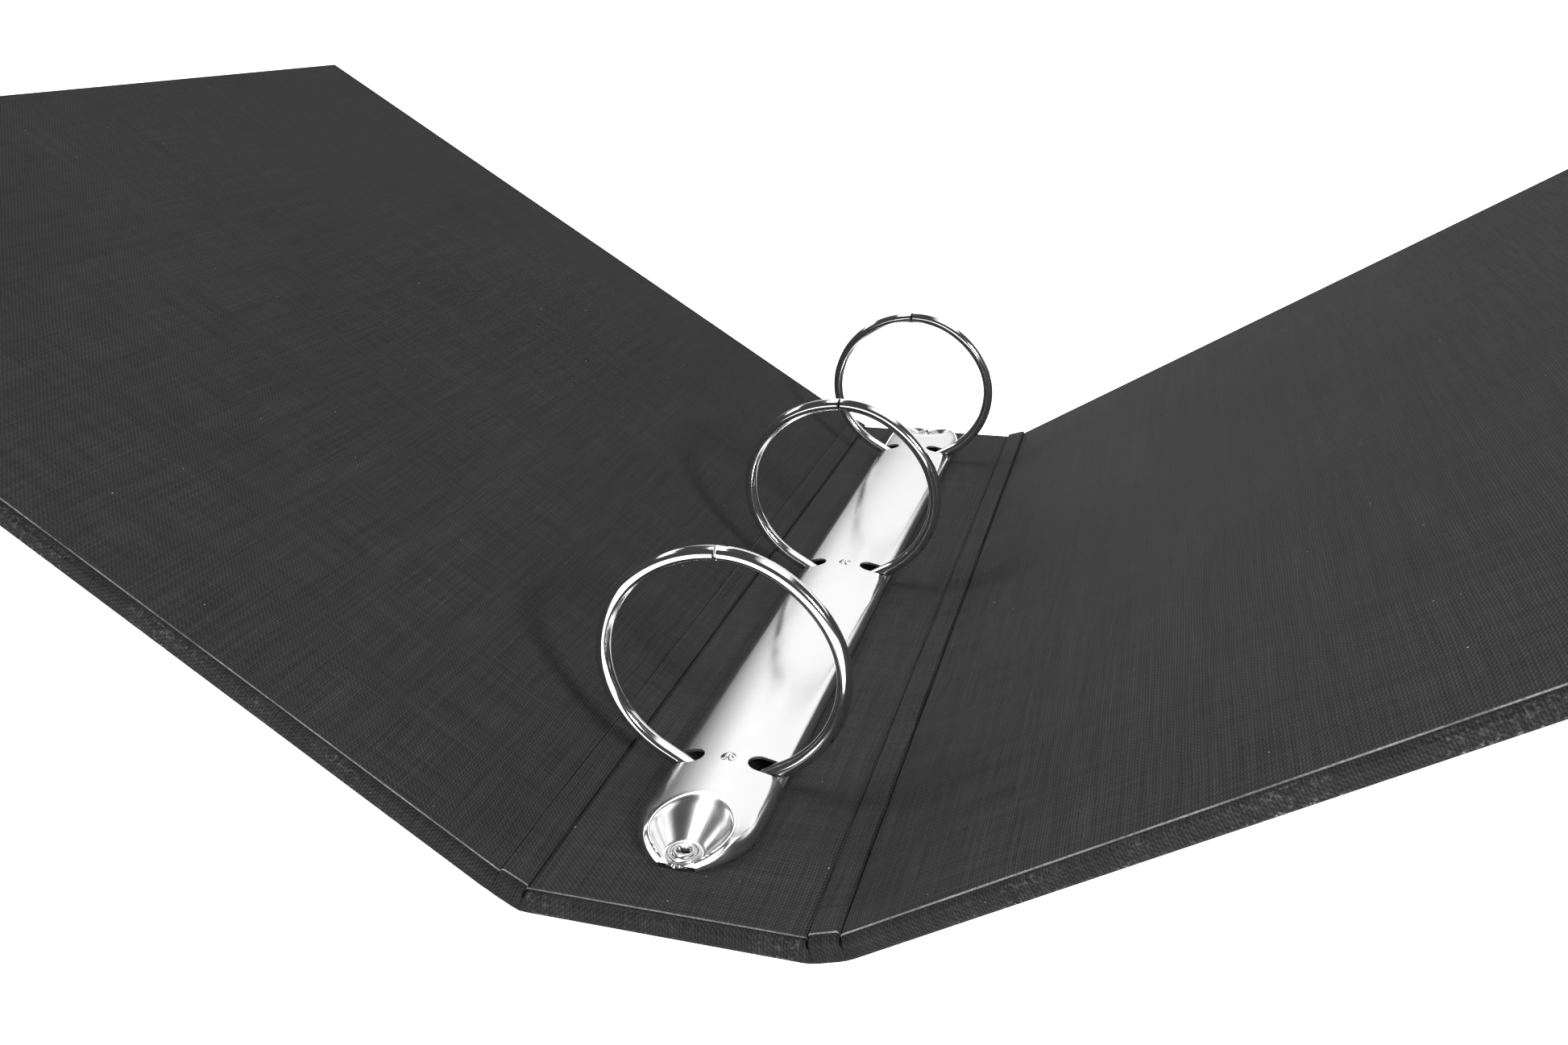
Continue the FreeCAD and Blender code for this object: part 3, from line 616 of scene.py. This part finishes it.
def grid_mesh(name, rows, side, uv_rows, skip=None, slots=None, wear=None, closed=False):
    """A mesh of quads through rows of flat places (out, y, up), folded into the open case."""
    places = np.array(rows, float)
    x, z = side.fold(places[..., 0], places[..., 2])
    points = np.stack([x, places[..., 1], z], axis=-1).reshape(-1, 3)
    faces, face_slots = [], []
    for row, column, face in quad_faces(*places.shape[:2], closed):
        if skip and skip(row, column):
            continue
        faces.append(face if side.sign > 0 else face[::-1])
        face_slots.append(slots(row, column) if slots else 0)
    mesh = bpy.data.meshes.new(name)
    mesh.from_pydata(points.tolist(), [], faces)
    mesh.polygons.foreach_set("material_index", face_slots)
    give_uvs(mesh, "cloth", uv_rows)
    if wear is not None:
        layer = mesh.attributes.new("wear", "FLOAT", "POINT")
        layer.data.foreach_set("value", np.array(wear, np.float32).ravel())
    mesh.shade_smooth()
    return mesh


def tidy_mesh(mesh, angle):
    """Merges points that fell together, and keeps edges crisp that turn by more than angle."""
    with reworked(mesh) as work:
        bmesh.ops.remove_doubles(work, verts=work.verts, dist=MERGE_DISTANCE)
        bmesh.ops.dissolve_degenerate(work, edges=work.edges, dist=SPECK_LENGTH)
    mesh.set_sharp_from_angle(angle=math.radians(angle))


# The places between tail and head that every section of a skin passes through.
SPAN = [y * MM for y in range(-120, 121, 20)]


def cloth_ring(side, out, top, deeper, inset, shrink):
    """One section across the outer cloth: tail turn-in, tail fold, underside, head fold, head
    turn-in, then the fore edge's turn-in back to the start. Returns places, UVs and wear."""
    share = float(crease_share(side, out))
    low = -CLOTH_THICK + CREASE_PRESS * share + inset
    high = top - inset
    edge = CASE_TALL / 2 - inset
    radius = max(0.0, min(FOLD_RADIUS, 0.42 * (high - low + 2 * inset)) - shrink)
    raw = CASE_TALL / 2 - TURN_IN
    half = [(y, high - deeper * deeper_share(y), 0.0) for y in (raw, raw + 5 * MM, edge - 5 * MM)]
    half.append((edge - 1.7 * MM, high, 0.0))
    half.append((edge - radius - FOLD_LEAD, high, 0.3))
    for turn in QUARTER_TURN:
        drop = radius * (1 - math.cos(turn))
        half.append((edge - radius + radius * math.sin(turn), high - drop, 0.75))
    middle = (high + low) / 2
    tall = max(0.0, high - low - 2 * radius)
    half.append((edge, middle + 0.3 * tall, 0.4))
    half.append((edge, middle, 0.25))
    half.append((edge, middle - 0.3 * tall, 0.4))
    for turn in QUARTER_TURN[::-1]:
        rise = radius * (1 - math.cos(turn))
        half.append((edge - radius + radius * math.sin(turn), low + rise, 1.0))
    half.append((edge - radius - FOLD_LEAD, low, 0.5))
    half.append((edge - 2.2 * MM, low, 0.1))
    pinched = []
    for y, up, worn in half:
        tall = float(smooth_step((up - low) / max(high - low, MM)))
        outer = float(smooth_step((y - edge + 3 * MM) / (2 * MM)))
        pinched.append((y - CREASE_PINCH * share * tall * outer, up, worn))
    under = [(y, low, 0.0) for y in SPAN]
    over = [(y, high, 0.0) for y in SPAN]
    tail = [(-y, up, worn) for y, up, worn in pinched]
    ring = tail + under + pinched[::-1] + over[::-1]
    gone, uvs, previous = 0.0, [], None
    for y, up, _ in ring:
        if previous is not None:
            gone += math.dist(previous, (y, up))
        uvs.append((out, gone))
        previous = (y, up)
    return [(out, y, up) for y, up, _ in ring], uvs, [worn for _, _, worn in ring]


def make_cloth(side, part):
    """The outer cloth of half the case: under the boards, up round their edges, turned in."""
    line = section_line(side, part, CLOTH_THICK)
    stations = [(out, top, deeper, 0.0, 0.0, 0.0) for out, top, deeper in line]
    if part == "cover":
        top = BOARD_THICK + CLOTH_THICK
        end = side.fore_edge
        for back in (TURN_IN, 10 * MM, 5 * MM, 2.2 * MM, FOLD_RADIUS + FOLD_LEAD):
            stations.append((end - back, top, 0.0, 0.0, 0.0, 0.3 if back < 2 * MM else 0.0))
        for turn in QUARTER_TURN:
            drop = FOLD_RADIUS * (1 - math.cos(turn))
            out = end - FOLD_RADIUS + FOLD_RADIUS * math.sin(turn)
            stations.append((out, top, 0.0, drop, drop, 0.9))
        stations.append((end, top, 0.0, FOLD_RADIUS + 0.35 * MM, FOLD_RADIUS, 0.4))
        stations.append((end, top, 0.0, FOLD_RADIUS + 1.0 * MM, FOLD_RADIUS, 0.3))
    rows, uvs, wear = [], [], []
    for out, top, deeper, inset, shrink, worn in stations:
        places, place_uvs, worn_ring = cloth_ring(side, out, top, deeper, inset, shrink)
        rows.append(places)
        uvs.append([(u + inset, v) for u, v in place_uvs])
        wear.append([max(worn, w) for w in worn_ring])
    turned_in = len(line)
    over_from = len(rows[0]) - len(SPAN) - 1

    def skip(row, column):
        return column >= over_from and row < turned_in

    name = "%s_%s_outer_cloth" % (side.name, part)
    mesh = grid_mesh(name, rows, side, uvs, skip=skip, wear=wear, closed=True)
    if part == "cover":
        close_fore_edge(mesh, len(rows[0]), len(rows))
    tidy_mesh(mesh, SKIN_CRISP_TURN)
    mesh.materials.append(book_cloth)
    return link_object(name, mesh)


def close_fore_edge(mesh, width, count):
    """Fills the last section with one face, and gives it UVs that carry on from its rim."""
    with reworked(mesh) as work:
        work.verts.ensure_lookup_table()
        layer = work.loops.layers.uv["cloth"]
        ring = [work.verts[(count - 1) * width + column] for column in range(width)]
        face = work.faces.new(ring)
        face.smooth = True
        for loop in face.loops:
            loop[layer].uv = (loop.vert.co.z, loop.vert.co.y)
        bmesh.ops.recalc_face_normals(work, faces=work.faces)


def make_lining(side, part):
    """The lining sheet: over the boards and turned-in cloth, and pressed down into the creases."""
    skin = CLOTH_THICK + LINING_THICK
    line = section_line(side, part, skin)
    if part == "cover":
        end = side.fore_edge - LINING_MARGIN
        steps = (12.6 * MM, 5 * MM, 0.6 * MM, 0.0)
        line += [(end - back, BOARD_THICK + skin, 0.0) for back in steps]
    half = CASE_TALL / 2 - LINING_MARGIN
    inner = [(y, 0.0) for y in SPAN]
    side_steps = [(half, -CUT_EDGE_TALL)]
    side_steps += [(half - back * MM, 0.0) for back in (0.0, 0.6, 2.0, 4.0, 6.0, 8.0, 13.0)]
    across = [(-y, drop) for y, drop in side_steps] + inner + side_steps[::-1]
    rows = [
        [(out, y, up + drop - deeper * deeper_share(y)) for y, drop in across]
        for out, up, deeper in line
    ]
    uvs = [[(out, y + drop) for y, drop in across] for out, _, _ in line]
    if part == "cover":
        low = line[-1][1] - CUT_EDGE_TALL
        rows.append([(out, y, min(up, low)) for out, y, up in rows[-1]])
        uvs.append([(out + CUT_EDGE_TALL, y) for out, y in uvs[-1]])
    last_row = len(rows) - 2
    last_column = len(across) - 2

    def slots(row, column):
        at_fore_edge = part == "cover" and row == last_row
        return 1 if at_fore_edge or column in (0, last_column) else 0

    name = "%s_%s_lining_sheet" % (side.name, part)
    mesh = grid_mesh(name, rows, side, uvs, slots=slots)
    tidy_mesh(mesh, SKIN_CRISP_TURN)
    mesh.materials.append(lining_cloth)
    mesh.materials.append(cut_edge)
    return link_object(name, mesh)


def bend_piece(piece, side, part):
    """Bakes the piece's transform into its mesh; the bodies and crease that it crosses are looked
    up but not used.
    """
    inner, outer = side.joined_bodies(part)
    axis, angle = side.crease_line(part)
    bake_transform(piece)


def make_case():
    """Each skin is four pieces. margin is how far its sheet goes past the case when it is flat."""
    around = BOARD_THICK + CLOTH_THICK + TURN_IN
    skins = (
        (make_cloth, "cloth", "book_cloth", around),
        (make_lining, "lining", "lining_cloth", -LINING_MARGIN),
    )
    for side in SIDES:
        for part in ("spine", "cover"):
            bodies = side.joined_bodies(part)
            for make_skin, kind, slot, margin in skins:
                piece = make_skin(side, part)
                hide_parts(*["%s_%s" % (body, kind) for body in bodies])
                bend_piece(piece, side, part)


make_case()

# ---------------------------------------------------------------- the ring mechanism

# Millimetres, from the mechanism's middle: X across, Y towards the head, Z from the lining. Of
# the two leg slots at a ring, the left one begins further out. RING_BENDS says how much wider
# each kind of half is at its side, and how much flatter above it.
SHEET_THICK = 0.6
CROWN_TALL = 4.9
CROWN_RADIUS = 39.4
SHOULDER_RADIUS = 3.2
HOUSING_HALF = 12.75
HOUSING_END = 141.0
LIP_REACH = 1.7
LIP_CURL = 0.3
NOSE_START = 126.0
NOSE_RADIUS = 17.5
SLOPE_START = 124.0
SLOPE_RADIUS = 38.0
DISH_START = 119.5
DISH_FLOOR = 0.6
DISH_FLOOR_RADIUS = 4.2
DISH_RIM_RADIUS = 10.0
DISH_RIM_PLACE = 131.9
RIVET_PLACE = 136.8
RIVET_BORE_RADIUS = 2.0
RING_SPACING = 108.0
RINGS = {"tail": -1, "middle": 0, "head": 1}
SLOT_SHIFT = 0.45
SLOT_HALF = 2.75
SLOT_INNER = {-1: 5.6, 1: 4.3}
SLOT_FLARE = 3.2
SLOT_FLARE_START = 10.1
SLOT_FLARE_RADIUS = 5.8
SLOT_OUTSIDE = 15.8
NOTCH_LOW = 1.0
PIP_RADIUS = 1.8
PIP_TALL = 0.85
RING_RADIUS = 25.4
RING_CENTRE_UP = 26.43
WIRE_RADIUS = 1.7
LEG_ANGLE = math.radians(30)
LEG_END = 7.7
RING_BENDS = {"left": (2.1, 0.0), "right": (0.3, 0.6)}
LAP_LONG = 1.3
LAP_TOOTH = (0.35, 0.34)
LAP_GAP = 0.16
TIP_GAP = 0.6
TENON_PLACE = 7.4
TENON_RADIUS = 1.1
PIVOT_ASIDE = 11.4
PIVOT_UP = 1.1
PLATE_THICK = 0.9
PLATE_DROOP = math.radians(2.5)
WIRE_CRISP_TURN = 50
PRESSED_CRISP_TURN = 38
TURNED_CRISP_TURN = 60

housing_low, housing_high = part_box("ring_housing")
MECHANISM = np.array(
    [
        (housing_low.x + housing_high.x) / 2,
        (housing_low.y + housing_high.y) / 2,
        housing_low.z,
    ]
)


def wrapped_mesh(name, rows, uv_rows, material):
    """A mesh of quads through rows of places in the mechanism's millimetres, with "metal" UVs."""
    places = np.array(rows, float)
    faces = [face for _, _, face in quad_faces(*places.shape[:2])]
    mesh = bpy.data.meshes.new(name)
    mesh.from_pydata(places.reshape(-1, 3).tolist(), [], faces)
    give_uvs(mesh, "metal", uv_rows, MM)
    mesh.materials.append(material)
    return link_object(name, mesh)


def settle(piece, nodes, body, angle, turned=False):
    """Takes a piece from the mechanism's millimetres to its place, hides the nodes that it stands
    in for, and attaches it to its body.
    """
    mesh = piece.data
    points = np.zeros(len(mesh.vertices) * 3, np.float32)
    mesh.vertices.foreach_get("co", points)
    points = points.reshape(-1, 3) * (MM * np.array([-1, -1, 1]) if turned else MM)
    mesh.vertices.foreach_set("co", (points + MECHANISM).astype(np.float32).ravel())
    mesh.shade_smooth()
    tidy_mesh(mesh, angle)
    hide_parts(*nodes)
    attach(piece, body)


def applied(piece):
    """The piece's mesh with its modifiers applied."""
    graph = bpy.context.evaluated_depsgraph_get()
    mesh = bpy.data.meshes.new_from_object(piece.evaluated_get(graph))
    piece.modifiers.clear()
    piece.data = mesh


def cut_out(piece, cutter):
    """Cuts one object out of another, and removes the cutter."""
    cut = piece.modifiers.new("cut", "BOOLEAN")
    cut.operation = "DIFFERENCE"
    cut.solver = "EXACT"
    cut.object = cutter
    cut.material_mode = "TRANSFER"
    applied(piece)
    bpy.data.objects.remove(cutter)


def arch_half():
    """Half of the housing's outer section, from the middle of its crown to inside the lip."""
    shoulder_x = HOUSING_HALF - SHOULDER_RADIUS
    meet = math.asin(shoulder_x / (CROWN_RADIUS - SHOULDER_RADIUS))
    crown_z = CROWN_TALL - CROWN_RADIUS
    shoulder_z = crown_z + (CROWN_RADIUS - SHOULDER_RADIUS) * math.cos(meet)
    line = []
    for turn in [*np.linspace(0, 0.05, 15)[:-1], *np.linspace(0.05, meet, 22)]:
        line.append((CROWN_RADIUS * math.sin(turn), crown_z + CROWN_RADIUS * math.cos(turn)))
    for turn in np.linspace(meet, math.pi / 2, 12)[1:]:
        x = shoulder_x + SHOULDER_RADIUS * math.sin(turn)
        line.append((x, shoulder_z + SHOULDER_RADIUS * math.cos(turn)))
    for turn in np.radians([0, 30, 60, 90]):
        x = HOUSING_HALF - LIP_CURL * (1 - math.cos(turn))
        line.append((x, LIP_CURL * (1 - math.sin(turn))))
    line.append((HOUSING_HALF - LIP_REACH / 2, 0.0))
    line.append((HOUSING_HALF - LIP_REACH, 0.0))
    return line


def cone_height(x, y):
    """Height of the dish's conical wall over a place; outside the cone it is high."""
    shift = RIVET_PLACE - DISH_RIM_PLACE
    widen = DISH_RIM_RADIUS - DISH_FLOOR_RADIUS
    along = y - RIVET_PLACE
    a = widen**2 - shift**2
    b = 2 * (DISH_FLOOR_RADIUS * widen - along * shift)
    c = DISH_FLOOR_RADIUS**2 - x**2 - along**2
    inside = b * b - 4 * a * c
    share = np.where(inside > 0, (-b + np.sqrt(np.maximum(inside, 0))) / (2 * a), 9.0)
    share = np.where(c > 0, 0.0, np.clip(share, 0.0, 9.0))
    return DISH_FLOOR + share * (CROWN_TALL - DISH_FLOOR)


def housing_rows():
    """The places of the housing's outer face, in rows across it from tail to head."""
    half_line = np.array(arch_half())
    line = np.concatenate([half_line[::-1] * (-1, 1), half_line[1:]])
    ys = []
    for end in (-1, 1):
        ys += [end * y for y in np.arange(DISH_START, HOUSING_END, 0.33)] + [end * HOUSING_END]
        ys += [end * y for y in np.arange(12, RING_SPACING - 8, 6)]
    for ring in RINGS.values():
        slots = ring * RING_SPACING + SLOT_SHIFT
        ys += [*(slots + np.arange(-6, 6.1, 2)), *(slots + np.arange(-1.8, 1.9, 0.15))]
    ys = sorted({round(float(y), 3) for y in ys})
    rows = []
    for y in ys:
        reach = abs(y)
        in_nose = max(reach - NOSE_START, 0.0)
        half = HOUSING_HALF - NOSE_RADIUS + math.sqrt(NOSE_RADIUS**2 - in_nose**2)
        in_slope = max(reach - SLOPE_START, 0.0)
        slope = CROWN_TALL - SLOPE_RADIUS + math.sqrt(SLOPE_RADIUS**2 - in_slope**2)
        x = line[:, 0] * half / HOUSING_HALF
        z = np.minimum(line[:, 1], soft_min(line[:, 1], slope, 0.5)) if in_slope else line[:, 1]
        if reach > DISH_START:
            cone = cone_height(x, reach)
            rim = 0.2 * np.exp(-(((cone - z) / 0.45) ** 2))
            top = np.abs(line[:, 0]) < HOUSING_HALF - 0.5
            z = np.where(top, soft_min(z, cone, 0.5) + rim * (z > 0.7), z)
        ring = RING_SPACING * round(y / RING_SPACING) + SLOT_SHIFT
        z = z + PIP_TALL * smooth_step(1.25 * (1 - np.hypot(x, y - ring) / PIP_RADIUS))
        rows.append(np.stack([x, np.full_like(x, y), z], axis=-1))
    return np.array(rows)


def arc_points(start, end, radius, side, count):
    """Places along the arc from start to end; its centre is left (1) or right (-1) of the way."""
    start, end = np.array(start, float), np.array(end, float)
    chord = end - start
    half = np.linalg.norm(chord) / 2
    across = np.array([-chord[1], chord[0]]) / (2 * half)
    centre = (start + end) / 2 + across * side * math.sqrt(max(radius**2 - half**2, 0.0))
    first = math.atan2(*(start - centre)[::-1])
    last = math.atan2(*(end - centre)[::-1])
    sweep = (last - first) * side % (2 * math.pi) * side
    turns = np.linspace(first, first + sweep, count)
    return [tuple(centre + radius * np.array([math.cos(t), math.sin(t)])) for t in turns]


def add_prism(work, outline, low, high):
    """Adds a closed prism over an outline to a bmesh; its faces point outwards."""
    bottom = [work.verts.new((x, y, low)) for x, y in outline]
    top = [work.verts.new((x, y, high)) for x, y in outline]
    faces = [work.faces.new(bottom), work.faces.new(top)]
    for index in range(len(outline)):
        after = (index + 1) % len(outline)
        faces.append(work.faces.new([bottom[index], bottom[after], top[after], top[index]]))
    bmesh.ops.recalc_face_normals(work, faces=faces)


def circle_points(x, y, radius):
    turns = np.linspace(0, 2 * math.pi, 33)[:-1]
    return [(x + radius * math.cos(turn), y + radius * math.sin(turn)) for turn in turns]


def housing_cutter():
    """The six leg slots and the two rivet bores, as one object that is cut out of the housing."""
    mesh = bpy.data.meshes.new("housing_cutter")
    with reworked(mesh) as work:
        for ring in RINGS.values():
            middle = ring * RING_SPACING + SLOT_SHIFT
            low, high = middle - SLOT_HALF, middle + SLOT_HALF
            flare_end = (SLOT_OUTSIDE, low - SLOT_FLARE)
            flare = arc_points((SLOT_FLARE_START, low), flare_end, SLOT_FLARE_RADIUS, -1, 9)
            for sign, inner in SLOT_INNER.items():
                back = arc_points((inner + SLOT_HALF, high), (inner, middle), SLOT_HALF, 1, 9)
                front = arc_points((inner, middle), (inner + SLOT_HALF, low), SLOT_HALF, 1, 9)
                outline = flare + [(SLOT_OUTSIDE, high)] + back + front[1:]
                add_prism(work, [(sign * x, y) for x, y in outline], NOTCH_LOW, 9.0)
        for end in (-1, 1):
            add_prism(work, circle_points(0, end * RIVET_PLACE, RIVET_BORE_RADIUS), -2.0, 3.0)
    # The cut faces get the dark steel: painted shade on the slot walls and inside the rivet bores.
    mesh.materials.append(bare_steel_painted_shade)
    return link_object("housing_cutter", mesh)


def make_housing():
    """Pressed sheet: arched, with curled lips, slots, pips, and an oblique dish at each end."""
    rows = housing_rows()
    ragged = np.random.default_rng(4).uniform(-0.03, 0.03, rows.shape[1])
    rows[0, :, 1] += ragged
    rows[-1, :, 1] += ragged[::-1]
    line = np.array(arch_half())
    steps = np.linalg.norm(np.diff(line, axis=0), axis=1).cumsum()
    across = np.concatenate([-steps[::-1], [0.0], steps])
    uvs = np.stack([np.broadcast_to(across, rows.shape[:2]), rows[..., 1]], axis=-1)
    housing = wrapped_mesh("housing_pressing", rows, uvs, housing_nickel)
    shell = housing.modifiers.new("sheet", "SOLIDIFY")
    shell.thickness = SHEET_THICK
    shell.offset = -1
    applied(housing)
    cut_out(housing, housing_cutter())
    settle(housing, ["ring_housing"], "spine", PRESSED_CRISP_TURN)


# The rivet's outline from under its base to the floor of its bore: radius and height.
RIVET_LINE = [
    (0.0, -4.1), (5.0, -4.1), (5.0, -3.3), (2.0, -3.3), (2.0, 0.62), (3.45, 0.62), (3.6, 0.72),
    (3.62, 0.86), (3.52, 1.02), (3.3, 1.13), (3.05, 1.17), (2.88, 1.12), (2.74, 1.05),
    (2.6, 1.06), (2.48, 1.16), (2.36, 1.32), (2.2, 1.43), (1.98, 1.49), (1.74, 1.49),
    (1.5, 1.43), (1.3, 1.3), (1.12, 1.1), (0.98, 0.8), (0.92, 0.3), (0.9, -2.4), (0.0, -2.4),
]


def make_rivet(end, sign, seed):
    """Tubular rivet, set by rolling its mouth over, which leaves the hole squeezed and uneven."""
    turns = np.linspace(0, 2 * math.pi, 73)
    noise = np.random.default_rng(seed).uniform(-1, 1, 6)
    squeezed = 0.34 * np.cos(2 * turns) + 0.03 * np.sin(5 * turns + noise[1]) - 0.12
    rows, uvs, gone, previous = [], [], 0.0, RIVET_LINE[0]
    for radius, up in RIVET_LINE:
        gone += math.dist(previous, (radius, up))
        previous = (radius, up)
        under_mouth = up < -2.0 or (up < 0.65 and radius > 1.0)
        near_hole = 0.0 if under_mouth else float(smooth_step((1.8 - radius) / 0.8))
        reach = radius * (1 + squeezed * near_hole)
        lift = up + 0.02 * np.sin(7 * turns + noise[3]) * near_hole * (up > 0.9)
        place_y = sign * RIVET_PLACE + reach * np.sin(turns)
        rows.append(np.stack([reach * np.cos(turns), place_y, lift], axis=-1))
        uvs.append(np.stack([np.full_like(turns, gone), 2 * turns], axis=-1))
    rivet = wrapped_mesh(end + "_rivet_turned", rows, uvs, rivet_nickel)
    # The bore's inside gets the dark steel as painted shade in the hole; the base's underside gets
    # it too.
    rivet.data.materials.append(bare_steel_painted_shade)
    for face in rivet.data.polygons:
        radius, up = RIVET_LINE[face.index // (len(turns) - 1)]
        face.material_index = int(up < 1.2 and radius < 1.2 or up < -3)
    settle(rivet, [end + "_rivet"], "spine", TURNED_CRISP_TURN)


def ring_path(side):
    """The middle of a ring half's wire from its tip to its foot, on the right: x and z."""
    top = RING_CENTRE_UP + RING_RADIUS
    around = np.linspace(0, math.pi - LEG_ANGLE, 73)
    path = [(-LAP_LONG + TIP_GAP, top), (-LAP_LONG / 2, top)]
    bulge, flat = RING_BENDS[side]
    for turn in around:
        reach = RING_RADIUS - (flat * math.sin(2 * turn) ** 2 if turn < math.pi / 2 else 0.0)
        path.append(((reach + bulge) * math.sin(turn), RING_CENTRE_UP + reach * math.cos(turn)))
    leave_x, leave_z = path[-1]
    fall = math.tan(LEG_ANGLE)
    path += [(x, leave_z - (leave_x - x) * fall) for x in np.linspace(leave_x, LEG_END, 6)[1:]]
    return np.array(path)


def make_wire(name, path, place_y):
    """Round wire along a path, closed at both ends."""
    ways = np.gradient(path, axis=0)
    ways /= np.linalg.norm(ways, axis=1)[:, None]
    outward = np.stack([-ways[:, 1], ways[:, 0]], axis=-1)
    turns = np.linspace(0, 2 * math.pi, 33)
    along = np.concatenate([[0.0], np.linalg.norm(np.diff(path, axis=0), axis=1).cumsum()])
    rows, uvs = [], []
    for (x, z), (out_x, out_z), gone in zip(path, outward, along):
        out = WIRE_RADIUS * np.cos(turns)
        y = place_y + WIRE_RADIUS * np.sin(turns)
        rows.append(np.stack([x + out * out_x, y, z + out * out_z], axis=-1))
        uvs.append(np.stack([WIRE_RADIUS * turns, np.full_like(turns, gone)], axis=-1))
    tip, foot = (np.broadcast_to(row.mean(axis=0), row.shape) for row in (rows[0], rows[-1]))
    rows = [tip, *rows, foot]
    uvs = [uvs[0], *uvs, uvs[-1]]
    wire = wrapped_mesh(name, rows, uvs, ring_nickel)
    tidy_mesh(wire.data, WIRE_CRISP_TURN)
    return wire


def cut_lap(half, place_y):
    """Takes one side of the wire's tip away, up to a toothed step."""
    face = place_y - LAP_GAP / 2
    deep, pitch = LAP_TOOTH
    teeth = [(LAP_LONG + deep * (tooth % 2), face + pitch * tooth) for tooth in range(6)]
    lap = [(-3.0, face)] + teeth + [(LAP_LONG, face + 4), (-3.0, face + 4)]
    mesh = bpy.data.meshes.new("lap_cutter")
    with reworked(mesh) as work:
        add_prism(work, lap, RING_CENTRE_UP, RING_CENTRE_UP + RING_RADIUS + 4)
    cut_out(half, link_object("lap_cutter", mesh))


def stake_foot(half, place_y):
    """Cuts the wire's foot level with its hinge plate, and adds the tenon that goes through."""
    tilt = Vector((-math.sin(PLATE_DROOP), 0, math.cos(PLATE_DROOP)))
    level = Vector((PIVOT_ASIDE, 0, PIVOT_UP)) + tilt * PLATE_THICK / 2
    under = level.z - (PIVOT_ASIDE - TENON_PLACE) * math.tan(PLATE_DROOP) - PLATE_THICK
    with reworked(half.data) as work:
        whole = work.verts[:] + work.edges[:] + work.faces[:]
        bmesh.ops.bisect_plane(work, geom=whole, plane_co=level, plane_no=tilt, clear_inner=True)
        bmesh.ops.holes_fill(work, edges=[edge for edge in work.edges if edge.is_boundary])
        tenon = circle_points(TENON_PLACE, place_y, TENON_RADIUS)
        add_prism(work, tenon, under, PIVOT_UP + PLATE_THICK)


def make_ring_half(side, ring_name, ring):
    """Half a ring of round wire, on the right before it is turned."""
    place_y = ring * RING_SPACING
    half = make_wire("%s_%s_ring_wire" % (side, ring_name), ring_path(side), place_y)
    cut_lap(half, place_y)
    stake_foot(half, place_y)
    half.data.materials.clear()
    half.data.materials.append(ring_nickel)
    nodes = ["%s_%s_ring_half" % (side, ring_name)]
    turned = side == "left"
    settle(half, nodes, side + "_blade", PRESSED_CRISP_TURN, turned)


make_housing()
make_rivet("tail", -1, 1)
make_rivet("head", 1, 2)
for ring_name, ring in RINGS.items():
    make_ring_half("left", ring_name, -ring)
    make_ring_half("right", ring_name, ring)
